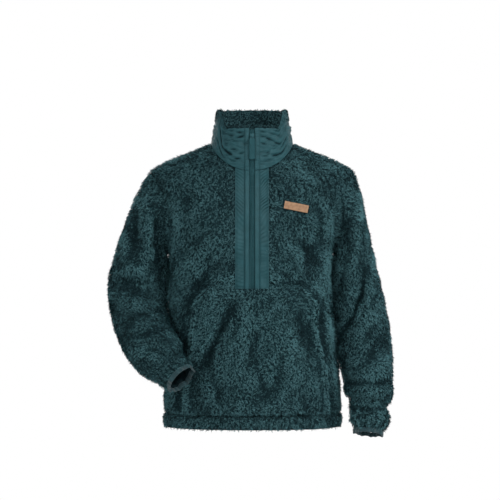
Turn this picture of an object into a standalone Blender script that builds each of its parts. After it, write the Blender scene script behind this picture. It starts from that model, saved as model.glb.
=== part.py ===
"""A half-zip pullover jacket of high-pile fleece, in the hollow shape it has when worn.

Metres, +Z up. The wearer faces -Y and the wearer's left is +X. The origin is at
mid depth, level with the inner ends of the two shoulder seams, where the jacket
hangs from whoever wears it.

Every panel is a wall between two skins. The outer skin is a function of two
parameters, read from the short tables below, and the inner skin is the same
surface moved inwards. Both skins are worked out, and not thickened afterwards,
so that the cut edges of two panels meet face to face along their seam.
"""

import math

import bpy
import numpy as np
from mathutils import Matrix, Vector

# ------------------------------------------------------------------ driving sizes
GAP = 0.0003             # between two pieces at a seam
NECK_GAP = 0.0008        # the same at the slanting neck seam, measured along the body
FLEECE = 0.008           # body and sleeves, backing and pile together
NYLON = 0.0014           # outer collar
PLACKET = 0.0022         # placket, two layers
PLACKET_SUNK = 0.0026    # how far the nylon lies below the tips of the pile
LINING = 0.0046          # fleece inside the collar
POCKET = 0.0060          # pouch, at its middle
POCKET_RIM = 0.0036      # pouch, at its edges
POCKET_ROUND = 1.5       # cells from the edge to its full thickness
LABEL = 0.0012           # chest label

HEM_LEVEL = -0.678
HEM_ROUND = 0.006        # height of the rounded fold at the very hem
CASING_LEVEL = -0.645    # stitch line of the hem casing
CASING_SWELL = 0.0022
CASING_SWELL_REACH = 0.012
CASING_NIP = 0.0030
CASING_NIP_REACH = 0.0045
NOTCH_LEVEL = -0.3475    # foot of the placket and top of the pouch
ARMPIT_LEVEL = -0.270
SHOULDER_LEVEL = -0.067  # outer end of the shoulder seam

SLOT_HALF = 0.0400       # half the slot in the front that the placket fills
TAPE_HALF = 0.0058       # half the zip that shows
WELT = (0.0061, 0.0069, 0.0158, 0.0166)   # foot, top, top and foot of the raised strip
WELT_HEIGHT = 0.0013

DIP_POWER = 1.4          # how the rings fall from the sides to the middle front
STEP = 1e-4              # small step for finding directions on a surface


def chart(names, rows):
    """Columns by name, from rows of numbers in the order of the names."""
    return dict(zip(names.split(), np.array(rows, dtype=float).T))


# Counts of cells.
SIDE_CELLS = 3           # side seam to the pouch edge line
POUCH_CELLS = 6          # pouch edge line to the slot
SLOT_CELLS = 3
BACK_CELLS = 16
LOWER_CELLS = 10
MIDDLE_CELLS = 3
ARMHOLE_CELLS = 11
SHOULDER_CELLS = 6


# Rings of the body from hem to neck. level: height at the sides. half, shift:
# half width and its middle. front, back: depths. dip, rise: how far the middle
# front lies below the sides, and the middle back above them. inset: how far the
# armhole cuts in from the sides. power: 2 for an ellipse, more for a boxy ring.
BODY = chart("level half shift front back dip rise inset power", (
    (-0.678, 0.2125, 0.001, 0.129, 0.112, 0.000, 0.000, 0.0000, 2.25),
    (-0.600, 0.2115, 0.001, 0.132, 0.111, 0.000, 0.000, 0.0000, 2.25),
    (-0.540, 0.2085, 0.000, 0.133, 0.110, 0.000, 0.000, 0.0000, 2.20),
    (-0.460, 0.2025, -0.002, 0.134, 0.110, 0.000, 0.000, 0.0000, 2.15),
    (-0.365, 0.1960, -0.005, 0.135, 0.113, 0.000, 0.000, 0.0000, 2.15),
    (-0.310, 0.1945, -0.005, 0.135, 0.117, 0.000, 0.000, 0.0000, 2.20),
    (-0.270, 0.1970, -0.004, 0.134, 0.119, 0.000, 0.000, 0.0000, 2.20),
    (-0.240, 0.2030, -0.003, 0.132, 0.121, 0.003, 0.000, 0.0045, 2.20),
    (-0.200, 0.2150, -0.002, 0.129, 0.121, 0.010, 0.001, 0.0145, 2.15),
    (-0.150, 0.2310, -0.001, 0.124, 0.118, 0.022, 0.003, 0.0280, 2.10),
    (-0.110, 0.2415, 0.000, 0.119, 0.110, 0.038, 0.007, 0.0285, 2.05),
    (-0.085, 0.2445, 0.000, 0.115, 0.103, 0.048, 0.010, 0.0130, 2.00),
    (-0.067, 0.2450, 0.000, 0.112, 0.097, 0.055, 0.012, 0.0000, 2.00),
    (-0.048, 0.2180, 0.000, 0.109, 0.091, 0.061, 0.012, 0.0000, 2.00),
    (-0.024, 0.1610, 0.000, 0.103, 0.081, 0.066, 0.012, 0.0000, 2.05),
    (0.000, 0.1000, 0.000, 0.095, 0.070, 0.070, 0.012, 0.0000, 2.10),
))

# Where the side edges of the pouch lie, and the line that carries them on upwards.
POUCH = chart("level right left", (
    (-0.678, -0.160, 0.180),
    (-0.645, -0.160, 0.180),
    (-0.556, -0.152, 0.175),
    (-0.500, -0.146, 0.165),
    (-0.445, -0.138, 0.150),
    (-0.395, -0.138, 0.153),
    (-0.370, -0.126, 0.139),
    (-0.3475, -0.105, 0.119),
    (-0.300, -0.100, 0.112),
    (-0.200, -0.100, 0.110),
    (-0.100, -0.098, 0.104),
    (-0.048, -0.090, 0.094),
    (0.000, -0.066, 0.066),
))

# Rings of the collar from its seam up. half, front, back: half width and depths.
# side, fore, aft: heights at the sides, the middle front and the middle back.
COLLAR = chart("rise half front back side fore aft", (
    (0.00, 0.0980, 0.0927, 0.0680, -0.0015, -0.0700, 0.0105),
    (0.15, 0.0962, 0.0925, 0.0680, 0.0120, -0.0560, 0.0200),
    (0.50, 0.0912, 0.0905, 0.0670, 0.0400, -0.0200, 0.0450),
    (0.85, 0.0862, 0.0880, 0.0650, 0.0640, 0.0160, 0.0690),
    (1.00, 0.0842, 0.0868, 0.0640, 0.0730, 0.0305, 0.0785),
    (1.10, 0.0836, 0.0860, 0.0635, 0.0790, 0.0375, 0.0845),
))
COLLAR_POWER = 2.1
RIM_CORNER = (0.45, 0.72)  # the rim drops in front between the turns of these cosines
COLLAR_RISES = (0.0, 0.12, 0.30, 0.50, 0.70, 0.88, 1.0)
TAPE_RISES = (0.12, 0.35, 0.60, 0.80, 0.96)

# Rim of the lining, rolled over the top of the nylon: how deep its outer and
# inner skins lie below the face of the nylon.
RIM = chart("rise outer inner", (
    (1.02, NYLON + GAP, NYLON + GAP + LINING),
    (1.04, -0.0010, NYLON + GAP + LINING),
    (1.07, -0.0012, NYLON + LINING),
    (1.10, 0.0012, NYLON + LINING - 0.0018),
))

# How a sleeve leaves the armhole. angle: around the arm in degrees, 0 at the
# armpit and 180 at the shoulder. start, end: reach of the curve's two handles.
# climb: how steeply the cloth sets off, up or down.
CAP = chart("angle start end climb", (
    (0, 0.010, 0.020, 0.80),
    (45, 0.022, 0.035, 0.20),
    (90, 0.034, 0.060, -0.20),
    (135, 0.030, 0.100, -0.45),
    (180, 0.016, 0.140, -0.53),
))
CAP_SPREAD = 0.32        # how far the cloth heads forward and back as it sets off

# Rings of the two sleeves below the cap: middle of the ring, half its width as
# seen from the front, and half its depth.
SLEEVE_LEFT = chart("station x y z wide deep", (
    (0.0, 0.2460, 0.006, -0.300, 0.0555, 0.0680),
    (1.0, 0.2517, 0.010, -0.345, 0.0606, 0.0660),
    (2.0, 0.2579, 0.009, -0.390, 0.0641, 0.0640),
    (3.0, 0.2658, 0.002, -0.440, 0.0655, 0.0620),
    (4.0, 0.2721, -0.010, -0.500, 0.0652, 0.0600),
    (5.0, 0.2795, -0.026, -0.560, 0.0590, 0.0560),
    (6.0, 0.2800, -0.038, -0.600, 0.0570, 0.0530),
    (7.0, 0.2745, -0.046, -0.627, 0.0430, 0.0450),
    (8.0, 0.2795, -0.056, -0.658, 0.0500, 0.0500),
    (9.0, 0.2770, -0.062, -0.682, 0.0370, 0.0380),
))
SLEEVE_RIGHT = chart("station x y z wide deep", (
    (0.0, -0.2700, 0.010, -0.300, 0.0695, 0.0680),
    (1.0, -0.2752, 0.012, -0.340, 0.0733, 0.0670),
    (2.0, -0.2754, -0.002, -0.380, 0.0711, 0.0650),
    (3.0, -0.2692, -0.034, -0.418, 0.0653, 0.0610),
    (4.0, -0.2560, -0.078, -0.454, 0.0625, 0.0580),
    (5.0, -0.2345, -0.119, -0.486, 0.0635, 0.0550),
    (6.0, -0.2110, -0.146, -0.513, 0.0580, 0.0500),
    (7.0, -0.1890, -0.160, -0.532, 0.0450, 0.0440),
    (8.0, -0.1780, -0.167, -0.541, 0.0460, 0.0440),
    (9.0, -0.1690, -0.173, -0.549, 0.0400, 0.0385),
))
CAP_STEPS = (0.0, 0.07, 0.16, 0.27, 0.40, 0.54, 0.69, 0.84, 1.0)
ARM_STEPS = (0.5, 1.0, 1.5, 2.0, 2.5, 3.0, 3.5, 4.0, 4.5, 5.0, 5.5, 6.0,
             6.5, 7.0, 7.5, 8.0, 8.5, 9.0)
GATHERS = 7              # soft waves around each cuff
GATHER_HEIGHT = 0.0016
GATHER_START = 5.5       # station where they begin, and how far on they are full
GATHER_GROWTH = 2.5
GATHER_TWIST = 0.8       # turn of the waves from station to station, in radians

CUFF_WIDTH = 0.011
CUFF_THICK = 0.0032
CUFF_SECTION = chart("along out", ((0.0, 0.30), (0.10, 0.50), (0.90, 0.50), (1.0, 0.30)))

# Largest folds. Each runs straight from (x0, z0) to (x1, z1) as seen from the
# front, on the side that faces there (side -1) or on the far one (side 1). width
# is the distance at which it has faded, height is negative for a trough.
FOLD_END = 0.45          # height at a fold's two ends, as a share of its middle
FOLD_TURN = 0.5          # how squarely the cloth must face for a full fold
FRONT_FOLDS = chart("x0 z0 x1 z1 width height side", (
    (-0.042, -0.385, -0.114, -0.530, 0.022, -0.0120, -1),
    (-0.086, -0.375, -0.150, -0.500, 0.026, 0.0075, -1),
    (-0.050, -0.285, -0.158, -0.366, 0.020, -0.0090, -1),
    (-0.050, -0.322, -0.150, -0.402, 0.020, 0.0067, -1),
    (-0.070, -0.226, -0.172, -0.306, 0.024, 0.0075, -1),
    (-0.004, -0.395, -0.052, -0.540, 0.026, 0.0075, -1),
    (0.050, -0.400, 0.110, -0.560, 0.030, 0.0067, -1),
    (0.095, -0.375, 0.150, -0.520, 0.022, -0.0075, -1),
    (0.160, -0.225, 0.120, -0.330, 0.024, -0.0083, -1),
    (0.178, -0.265, 0.160, -0.380, 0.022, 0.0067, -1),
    (0.050, -0.560, 0.000, -0.625, 0.024, -0.0060, -1),
    (-0.130, -0.560, -0.085, -0.625, 0.024, 0.0060, -1),
))
BACK_FOLDS = chart("x0 z0 x1 z1 width height side", (
    (-0.150, -0.230, -0.060, -0.340, 0.024, -0.0090, 1),
    (0.150, -0.225, 0.070, -0.330, 0.024, -0.0090, 1),
    (-0.168, -0.290, -0.080, -0.410, 0.024, 0.0075, 1),
    (0.168, -0.290, 0.075, -0.400, 0.024, 0.0075, 1),
    (-0.040, -0.370, -0.120, -0.530, 0.026, -0.0090, 1),
    (0.030, -0.390, 0.115, -0.560, 0.026, -0.0090, 1),
    (0.000, -0.430, 0.030, -0.620, 0.028, 0.0067, 1),
    (-0.130, -0.500, -0.070, -0.630, 0.026, 0.0067, 1),
))
LEFT_SLEEVE_FOLDS = chart("x0 z0 x1 z1 width height side", (
    (0.228, -0.140, 0.216, -0.262, 0.016, -0.0090, -1),
    (0.250, -0.120, 0.247, -0.270, 0.018, 0.0067, -1),
    (0.276, -0.280, 0.258, -0.366, 0.016, -0.0097, -1),
    (0.258, -0.366, 0.222, -0.436, 0.017, -0.0097, -1),
    (0.306, -0.370, 0.250, -0.460, 0.019, 0.0075, -1),
    (0.310, -0.460, 0.262, -0.545, 0.018, -0.0075, -1),
    (0.306, -0.520, 0.262, -0.590, 0.018, 0.0067, -1),
    (0.270, -0.130, 0.240, -0.260, 0.020, -0.0083, 1),
    (0.306, -0.330, 0.230, -0.380, 0.018, -0.0097, 1),
    (0.312, -0.380, 0.240, -0.440, 0.020, 0.0075, 1),
    (0.316, -0.480, 0.255, -0.560, 0.020, -0.0075, 1),
))
RIGHT_SLEEVE_FOLDS = chart("x0 z0 x1 z1 width height side", (
    (-0.276, -0.170, -0.286, -0.268, 0.017, -0.0090, -1),
    (-0.224, -0.155, -0.224, -0.290, 0.016, -0.0090, -1),
    (-0.250, -0.130, -0.254, -0.280, 0.018, 0.0067, -1),
    (-0.322, -0.336, -0.232, -0.358, 0.018, -0.0120, -1),
    (-0.322, -0.300, -0.240, -0.318, 0.018, 0.0067, -1),
    (-0.322, -0.372, -0.240, -0.390, 0.018, 0.0090, -1),
    (-0.268, -0.462, -0.216, -0.444, 0.016, -0.0090, -1),
    (-0.216, -0.444, -0.172, -0.470, 0.016, -0.0090, -1),
    (-0.305, -0.425, -0.255, -0.405, 0.017, -0.0075, -1),
    (-0.290, -0.480, -0.240, -0.500, 0.018, 0.0067, -1),
    (-0.270, -0.130, -0.255, -0.260, 0.020, -0.0083, 1),
    (-0.330, -0.320, -0.255, -0.350, 0.018, -0.0090, 1),
    (-0.335, -0.350, -0.260, -0.385, 0.020, 0.0083, 1),
    (-0.330, -0.395, -0.270, -0.430, 0.018, -0.0083, 1),
))

# Zip slider and pull: sizes across the zip, out from it and along it.
SLIDER_RISE = 0.80       # its place up the collar, as a share of the collar's height
SLIDER_SIZE = (0.0104, 0.0034, 0.0150)
SLIDER_LIFT = 0.0002     # under the slider, above the tape
SLIDER_DROP = 0.0015     # middle of the slider below the joint axis
SLIDER_ROUND = 0.0008
PULL_SIZE = (0.0132, 0.0017, 0.0560)
PULL_ROUND = 0.0005
PIVOT_OUT = 0.0052       # joint axis, out from the tape
BRIDGE_SIZE = (0.0030, 0.0044, 0.0084)
BRIDGE_SUNK = 0.0005     # bridge inside the slider's face
BRIDGE_WALL = 0.0012
WINDOW_SIZE = (0.0048, 0.0100, 0.0058)
CROSSBAR_HALF = 0.0009

LABEL_SIZE = (0.057, 0.0175)
LABEL_PLACE = (0.1035, -0.1560)
LABEL_TILT = math.radians(-11.0)
LOCATE_ROUNDS = 30       # rounds of the search for a place on the front

# Colour, roughness and metallic of each finish.
FINISHES = {
    "fleece": ((0.020, 0.075, 0.085), 0.95, 0.0),
    "nylon": ((0.045, 0.120, 0.130), 0.60, 0.0),
    "binding": ((0.025, 0.085, 0.092), 0.80, 0.0),
    "tape": ((0.050, 0.130, 0.135), 0.70, 0.0),
    "metal": ((0.060, 0.130, 0.135), 0.45, 0.3),
    "leather": ((0.420, 0.230, 0.120), 0.55, 0.0),
}
SHARP = math.radians(50)


# ------------------------------------------------------------------ reading a table
def read(table, column, at):
    """One column read at any place along the table's first column.

    A cubic between rows whose slope at each row is the harmonic mean of the
    slopes either side, or flat at a turning point, so nothing overshoots."""
    along = next(iter(table.values()))
    value = table[column]
    step = np.diff(along)
    slope = np.diff(value) / step
    before = 2.0 * step[1:] + step[:-1]
    after = step[1:] + 2.0 * step[:-1]
    product = slope[:-1] * slope[1:]
    same_way = product > 0
    weight = np.where(same_way, before * slope[1:] + after * slope[:-1], 1.0)
    middle = np.where(same_way, (before + after) * product / weight, 0.0)
    tangent = np.concatenate([slope[:1], middle, slope[-1:]])
    cell = np.clip(np.searchsorted(along, at, side="right") - 1, 0, len(step) - 1)
    t = np.clip((at - along[cell]) / step[cell], 0.0, 1.0)
    return (
        value[cell] * (1 + 2 * t) * (1 - t) ** 2
        + value[cell + 1] * t * t * (3 - 2 * t)
        + step[cell] * tangent[cell] * t * (1 - t) ** 2
        - step[cell] * tangent[cell + 1] * t * t * (1 - t)
    )


def unit(vectors):
    """Vectors of length one."""
    return vectors / np.linalg.norm(vectors, axis=-1, keepdims=True)


def ease(value):
    """A soft step from 0 to 1."""
    t = np.clip(value, 0.0, 1.0)
    return t * t * (3.0 - 2.0 * t)


# ------------------------------------------------------------------ folds
def relief(points, normals, folds):
    """Height of all the folds at each point.

    A fold falls off as a bell with the distance from its straight run, seen
    from the front, and fades towards both ends and on cloth that turns away."""
    height = np.zeros(points.shape[:-1])
    x, z = points[..., 0], points[..., 2]
    for x0, z0, x1, z1, width, rise, side in zip(*folds.values()):
        run_x, run_z = x1 - x0, z1 - z0
        share = ((x - x0) * run_x + (z - z0) * run_z) / (run_x**2 + run_z**2)
        near = np.clip(share, 0.0, 1.0)
        away = np.hypot(x - x0 - near * run_x, z - z0 - near * run_z)
        taper = FOLD_END + (1.0 - FOLD_END) * np.sin(math.pi * near)
        facing = ease(side * normals[..., 1] / FOLD_TURN)
        height += rise * taper * facing * np.exp(-((away / width) ** 2))
    return height


# ------------------------------------------------------------------ body
def body_ring(turn, level):
    """Plain body: superellipse rings, whose front dips and whose back rises.

    turn is the angle around the body, 0 at the middle front and a quarter turn
    at the wearer's left side."""
    side, ahead = np.sin(turn), np.cos(turn)
    bend = 2.0 / read(BODY, "power", level)
    in_front = ahead > 0
    depth = np.where(in_front, -read(BODY, "front", level), read(BODY, "back", level))
    fall = np.where(in_front, -read(BODY, "dip", level), read(BODY, "rise", level))
    spread = np.sign(side) * np.abs(side) ** bend
    x = read(BODY, "shift", level) + read(BODY, "half", level) * spread
    y = depth * np.abs(ahead) ** bend
    z = level + fall * np.abs(ahead) ** DIP_POWER
    return np.stack(np.broadcast_arrays(x, y, z), axis=-1)


def body_directions(turn, level):
    """Outward normal and upward direction of the plain body, by small steps."""
    across = body_ring(turn + STEP, level) - body_ring(turn - STEP, level)
    upward = body_ring(turn, level + STEP) - body_ring(turn, level - STEP)
    return unit(np.cross(across, upward)), unit(upward)


def casing(level):
    """The hem casing swells between its fold and its nipped stitch line."""
    middle = (HEM_LEVEL + CASING_LEVEL) / 2
    swell = CASING_SWELL * np.exp(-(((level - middle) / CASING_SWELL_REACH) ** 2))
    nip = CASING_NIP * np.exp(-(((level - CASING_LEVEL) / CASING_NIP_REACH) ** 2))
    return swell - nip


def body_skin(turn, level, depth=0.0):
    """Body with its folds and hem casing, depth below the tips of the pile."""
    points = body_ring(turn, level)
    normals = body_directions(turn, level)[0]
    folds = {name: np.append(FRONT_FOLDS[name], BACK_FOLDS[name]) for name in FRONT_FOLDS}
    height = relief(points, normals, folds) + casing(level)
    return points + normals * (height - depth)[..., None]


def turn_at(x, level):
    """Angle around the front at which the ring of this level reaches x."""
    reach = (x - read(BODY, "shift", level)) / read(BODY, "half", level)
    share = np.clip(np.abs(reach), 0.0, 1.0) ** (read(BODY, "power", level) / 2.0)
    return np.sign(reach) * np.arcsin(share)


def seam_turn(level):
    """Angle of the panel's side edge: a quarter turn, or less along the armhole."""
    reach = 1.0 - read(BODY, "inset", level) / read(BODY, "half", level)
    return np.arcsin(np.clip(reach, 0.0, 1.0) ** (read(BODY, "power", level) / 2.0))


def panel_levels():
    """Heights of the rows of points that front and back share, hem to neck."""
    share = np.linspace(0.0, 1.0, ARMHOLE_CELLS + 1)
    share = 0.5 * share + 0.25 * (1.0 - np.cos(math.pi * share))
    parts = (
        (HEM_LEVEL, HEM_LEVEL + HEM_ROUND, (HEM_LEVEL + CASING_LEVEL) / 2, CASING_LEVEL - HEM_ROUND),
        (CASING_LEVEL,),
        np.linspace(CASING_LEVEL + HEM_ROUND, NOTCH_LEVEL, LOWER_CELLS + 1),
        np.linspace(NOTCH_LEVEL, ARMPIT_LEVEL, MIDDLE_CELLS + 1)[1:],
        (ARMPIT_LEVEL + (SHOULDER_LEVEL - ARMPIT_LEVEL) * share)[1:],
        np.linspace(SHOULDER_LEVEL, 0.0, SHOULDER_CELLS + 1)[1:],
    )
    return np.concatenate(parts)


LEVELS = panel_levels()
NOTCH_ROW = int(np.argmin(np.abs(LEVELS - NOTCH_LEVEL)))
ARMPIT_ROW = NOTCH_ROW + MIDDLE_CELLS
SHOULDER_ROW = ARMPIT_ROW + ARMHOLE_CELLS
CASING_ROW = int(np.argmin(np.abs(LEVELS - CASING_LEVEL))) + 1
SLOT_FIRST = SIDE_CELLS + POUCH_CELLS
SLOT_LAST = SLOT_FIRST + SLOT_CELLS


def front_turns(level):
    """Angles of the front's points at one level, right side seam to left.

    Lines of points follow both sides, both pouch edges and both slot edges."""
    edge = seam_turn(level)
    marks = (
        -edge,
        turn_at(read(POUCH, "right", level), level),
        turn_at(-SLOT_HALF, level),
        turn_at(SLOT_HALF, level),
        turn_at(read(POUCH, "left", level), level),
        edge,
    )
    counts = (SIDE_CELLS, POUCH_CELLS, SLOT_CELLS, POUCH_CELLS, SIDE_CELLS)
    runs = [
        np.linspace(low, high, count + 1)[1:]
        for low, high, count in zip(marks, marks[1:], counts)
    ]
    return np.concatenate([[marks[0]], *runs])


FRONT_TURNS = np.array([front_turns(level) for level in LEVELS])
BACK_TURNS = np.linspace(math.pi - seam_turn(LEVELS), math.pi + seam_turn(LEVELS), BACK_CELLS + 1).T
LEVEL_GRID = LEVELS[:, None]


def front_skin(depth):
    """Grid of the front's points, a hair forward of the side and shoulder seams."""
    return body_skin(FRONT_TURNS, LEVEL_GRID, depth) - [0.0, GAP / 2, 0.0]


def back_skin(depth):
    """Grid of the back's points, from the left side seam round to the right."""
    return body_skin(BACK_TURNS, LEVEL_GRID, depth) + [0.0, GAP / 2, 0.0]


# ------------------------------------------------------------------ walls and objects
def split(quads):
    """Two triangles for each four-sided face, along its first diagonal."""
    return np.concatenate([quads[:, [0, 1, 2]], quads[:, [0, 2, 3]]])


def border_of(quads):
    """Edges of the faces that only one face uses, in that face's direction."""
    edges = np.concatenate([quads[:, [i, (i + 1) % 4]] for i in range(4)])
    ordered = np.sort(edges, axis=1)
    keys = ordered[:, 0] * (ordered.max() + 1) + ordered[:, 1]
    first, counts = np.unique(keys, return_index=True, return_counts=True)[1:]
    return edges[first[counts == 1]]


def wall(name, outer, inner, material, keep=None, ring=False):
    """A closed wall between two grids of points of the same shape.

    keep says which cells exist, and ring joins the last column to the first.
    The cells of the second half of the columns are split the other way from
    those of the first, so that a panel is the same on its left and right. Each
    face of the cut edge is split from its higher end, so that the cut edges of
    two panels are split alike where they meet."""
    rows, columns = outer.shape[:2]
    count = rows * columns
    index = np.arange(count).reshape(rows, columns)
    if ring:
        index = np.concatenate([index, index[:, :1]], axis=1)
    cells = np.stack([index[:-1, :-1], index[:-1, 1:], index[1:, 1:], index[1:, :-1]], axis=-1)
    half = (cells.shape[1] + 1) // 2
    cells[:, half:] = np.roll(cells[:, half:], -1, axis=2)
    if keep is None:
        keep = np.ones(cells.shape[:2], dtype=bool)
    cells = cells[keep]
    points = np.concatenate([outer.reshape(-1, 3), inner.reshape(-1, 3)])
    border = border_of(cells)
    start, end = border.T
    height = points @ np.array([0.3, 0.2, 1.0])
    from_end = (height[end] > height[start])[:, None]
    rim = np.where(
        from_end,
        np.stack([end, start, start + count, end + count], axis=1),
        np.stack([start, start + count, end + count, end], axis=1),
    )
    faces = np.concatenate([split(cells), split(cells)[:, ::-1] + count, split(rim)])
    used, faces = np.unique(faces, return_inverse=True)
    faces = faces.reshape(-1, 3)
    points = points[used]
    a, b, c = points[faces[:, 0]], points[faces[:, 1]], points[faces[:, 2]]
    if np.sum(a * np.cross(b, c)) < 0:
        faces = faces[:, ::-1]
    mesh = bpy.data.meshes.new(name)
    mesh.from_pydata(points.tolist(), [], faces.tolist())
    mesh.shade_smooth()
    mesh.set_sharp_from_angle(angle=SHARP)
    return place(bpy.data.objects.new(name, mesh), material)


def place(piece, material):
    """Links a piece to the jacket's collection and gives it its material."""
    piece.data.materials.clear()
    piece.data.materials.append(material)
    COLLECTION.objects.link(piece)
    return piece


def finish(name, kind):
    """A Principled material of one of the finishes."""
    colour, roughness, metallic = FINISHES[kind]
    material = bpy.data.materials.new(name)
    material.use_nodes = True
    shader = material.node_tree.nodes["Principled BSDF"]
    shader.inputs["Base Color"].default_value = (*colour, 1.0)
    shader.inputs["Roughness"].default_value = roughness
    shader.inputs["Metallic"].default_value = metallic
    return material


# ------------------------------------------------------------------ panels of the body
def make_front():
    """Front panel, with the slot for the placket left open above the notch row."""
    keep = np.ones((len(LEVELS) - 1, FRONT_TURNS.shape[1] - 1), dtype=bool)
    keep[NOTCH_ROW:, SLOT_FIRST:SLOT_LAST] = False
    wall("front", front_skin(0.0), front_skin(FLEECE), finish("fleece_front", "fleece"), keep)


def make_back():
    """Back panel."""
    wall("back", back_skin(0.0), back_skin(FLEECE), finish("fleece_back", "fleece"))


def make_pocket():
    """Pouch pocket: the front's own points between the pouch lines, moved out.

    It is thicker in its middle than along its turned edges."""
    rows = slice(CASING_ROW, NOTCH_ROW + 1)
    columns = slice(SIDE_CELLS, SIDE_CELLS + 2 * POUCH_CELLS + SLOT_CELLS + 1)
    turns, levels = FRONT_TURNS[rows, columns], LEVEL_GRID[rows]
    down = np.arange(turns.shape[0])[:, None]
    over = np.arange(turns.shape[1])[None, :]
    from_edge = np.minimum(
        np.minimum(down, turns.shape[0] - 1 - down),
        np.minimum(over, turns.shape[1] - 1 - over),
    )
    thick = POCKET_RIM + (POCKET - POCKET_RIM) * ease(from_edge / POCKET_ROUND)
    inner = body_skin(turns, levels, -GAP) - [0.0, GAP / 2, 0.0]
    outer = body_skin(turns, levels, -GAP - thick) - [0.0, GAP / 2, 0.0]
    wall("pocket", outer, inner, finish("fleece_pocket", "fleece"))


# ------------------------------------------------------------------ sleeves
def arm_middle(arm, station):
    """Middle of the sleeve's ring at a station."""
    return np.stack([read(arm, axis, station) for axis in "xyz"], axis=-1)


def arm_axis(arm, station):
    """Direction of the sleeve's middle line, towards the cuff."""
    step = 0.02
    return unit(arm_middle(arm, station + step) - arm_middle(arm, station - step))


def arm_ring(arm, side, around, station):
    """Sleeve below the cap: ellipses square to a curved middle line.

    around is the angle from the side next to the body (0) by the front."""
    axis = arm_axis(arm, station)
    across = unit(np.array([1.0, 0.0, 0.0]) - axis * axis[..., :1])
    ahead = np.cross(axis, across)
    wide = (read(arm, "wide", station) * np.cos(around))[..., None]
    deep = (read(arm, "deep", station) * np.sin(around))[..., None]
    return arm_middle(arm, station) - side * wide * across + deep * ahead


def armhole(side):
    """Outer and inner points of the body's armhole, and the way out across it.

    They run from the armpit up the front edge and down the back edge."""
    rows = slice(ARMPIT_ROW, SHOULDER_ROW + 1)
    front_column, back_column = (-1, 0) if side > 0 else (0, -1)
    loops = []
    for depth in (0.0, FLEECE):
        front = front_skin(depth)[rows, front_column]
        back = back_skin(depth)[rows, back_column]
        loop = np.concatenate([front, back[-2:0:-1]])
        loop[0] = (front[0] + back[0]) / 2
        loop[ARMHOLE_CELLS] = (front[-1] + back[-1]) / 2
        loops.append(loop)
    outer, inner = loops
    along = np.roll(outer, -1, axis=0) - np.roll(outer, 1, axis=0)
    way_out = unit(np.cross(inner - outer, along)) * side
    return outer, inner, way_out


def sleeve_skin(arm, side):
    """Grid of the sleeve's outer points, armhole to cuff, and of its angles.

    The cap is a cubic curve for each line of points, from the armhole to the
    first ring of the arm, which it meets without a break in direction."""
    outer, _, way_out = armhole(side)
    start = outer + way_out * GAP
    around = np.linspace(0.0, 2 * math.pi, len(start), endpoint=False)
    degrees = np.degrees(np.minimum(around, 2 * math.pi - around))
    climb = read(CAP, "climb", degrees)
    forward = -CAP_SPREAD * np.sin(around)
    heading = unit(np.stack([side * np.ones_like(climb), forward, climb], axis=-1))
    first = arm_ring(arm, side, around, np.zeros_like(around))
    onward = unit(arm_ring(arm, side, around, np.full_like(around, 0.05)) - first)
    one = start + heading * read(CAP, "start", degrees)[:, None]
    two = first - onward * read(CAP, "end", degrees)[:, None]
    t = np.array(CAP_STEPS)[:, None, None]
    cap = (1 - t) ** 3 * start + 3 * t * (1 - t) ** 2 * one + 3 * t * t * (1 - t) * two + t**3 * first
    stations = np.array(ARM_STEPS)[:, None]
    arm_part = arm_ring(arm, side, np.broadcast_to(around, (len(stations), len(around))), stations)
    return np.concatenate([cap, arm_part]), around


def grid_normals(grid, side):
    """Outward normals of a tube's grid, from its neighbouring points."""
    along = np.gradient(grid, axis=0)
    around = np.roll(grid, -1, axis=1) - np.roll(grid, 1, axis=1)
    return unit(np.cross(along, around)) * side


def gathers(around, stations):
    """Soft waves where the sleeve is drawn in to its cuff."""
    near = ease((stations - GATHER_START) / GATHER_GROWTH)
    return GATHER_HEIGHT * near * np.cos(GATHERS * around + GATHER_TWIST * stations)


def make_sleeve(name, arm, side, folds):
    """One sleeve, and the points of its last ring for the cuff."""
    plain, around = sleeve_skin(arm, side)
    normals = grid_normals(plain, side)
    stations = np.concatenate([np.zeros(len(CAP_STEPS)), ARM_STEPS])[:, None]
    height = relief(plain, normals, folds) + gathers(around[None, :], stations)
    height[0] = 0.0
    outer = plain + normals * height[..., None]
    outer[0] = plain[0]
    inner = outer - normals * FLEECE
    _, edge, way_out = armhole(side)
    inner[0] = edge + way_out * GAP
    inner[-1] = outer[-1] - unit(outer[-1] - arm_middle(arm, ARM_STEPS[-1])) * FLEECE
    wall(name, outer, inner, finish("fleece_" + name, "fleece"), ring=True)
    return outer, inner


def make_cuff(name, arm, outer, inner):
    """Elastic binding: a band with rounded edges around the end of the sleeve."""
    axis = arm_axis(arm, ARM_STEPS[-1])
    middle = (outer[-1] + inner[-1]) / 2
    away = unit(outer[-1] - inner[-1])
    along = (GAP + CUFF_SECTION["along"] * CUFF_WIDTH)[:, None, None] * axis
    out = (CUFF_SECTION["out"] * CUFF_THICK)[:, None, None] * away
    binding = finish("binding_" + name, "binding")
    wall(name, middle + along + out, middle + along - out, binding, ring=True)


# ------------------------------------------------------------------ collar
def neck_edge(turn, depth):
    """Points on the cut edge of the body at the neck, a seam's gap above it."""
    level = np.zeros_like(turn)
    return body_skin(turn, level, depth) + body_directions(turn, level)[1] * NECK_GAP


def collar_fall(ahead, rise):
    """Share of the drop from the sides to the middle, for the cosine of a turn. It
    is even at the seam and becomes a step at the front corners of the rim."""
    even = np.abs(ahead) ** DIP_POWER
    low, high = RIM_CORNER
    share = np.clip((ahead - low) / (high - low), 0.0, 1.0)
    step = share * share * (3.0 - 2.0 * share)
    return np.where(ahead > 0, even + (step - even) * np.clip(rise, 0.0, 1.0), even)


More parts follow.
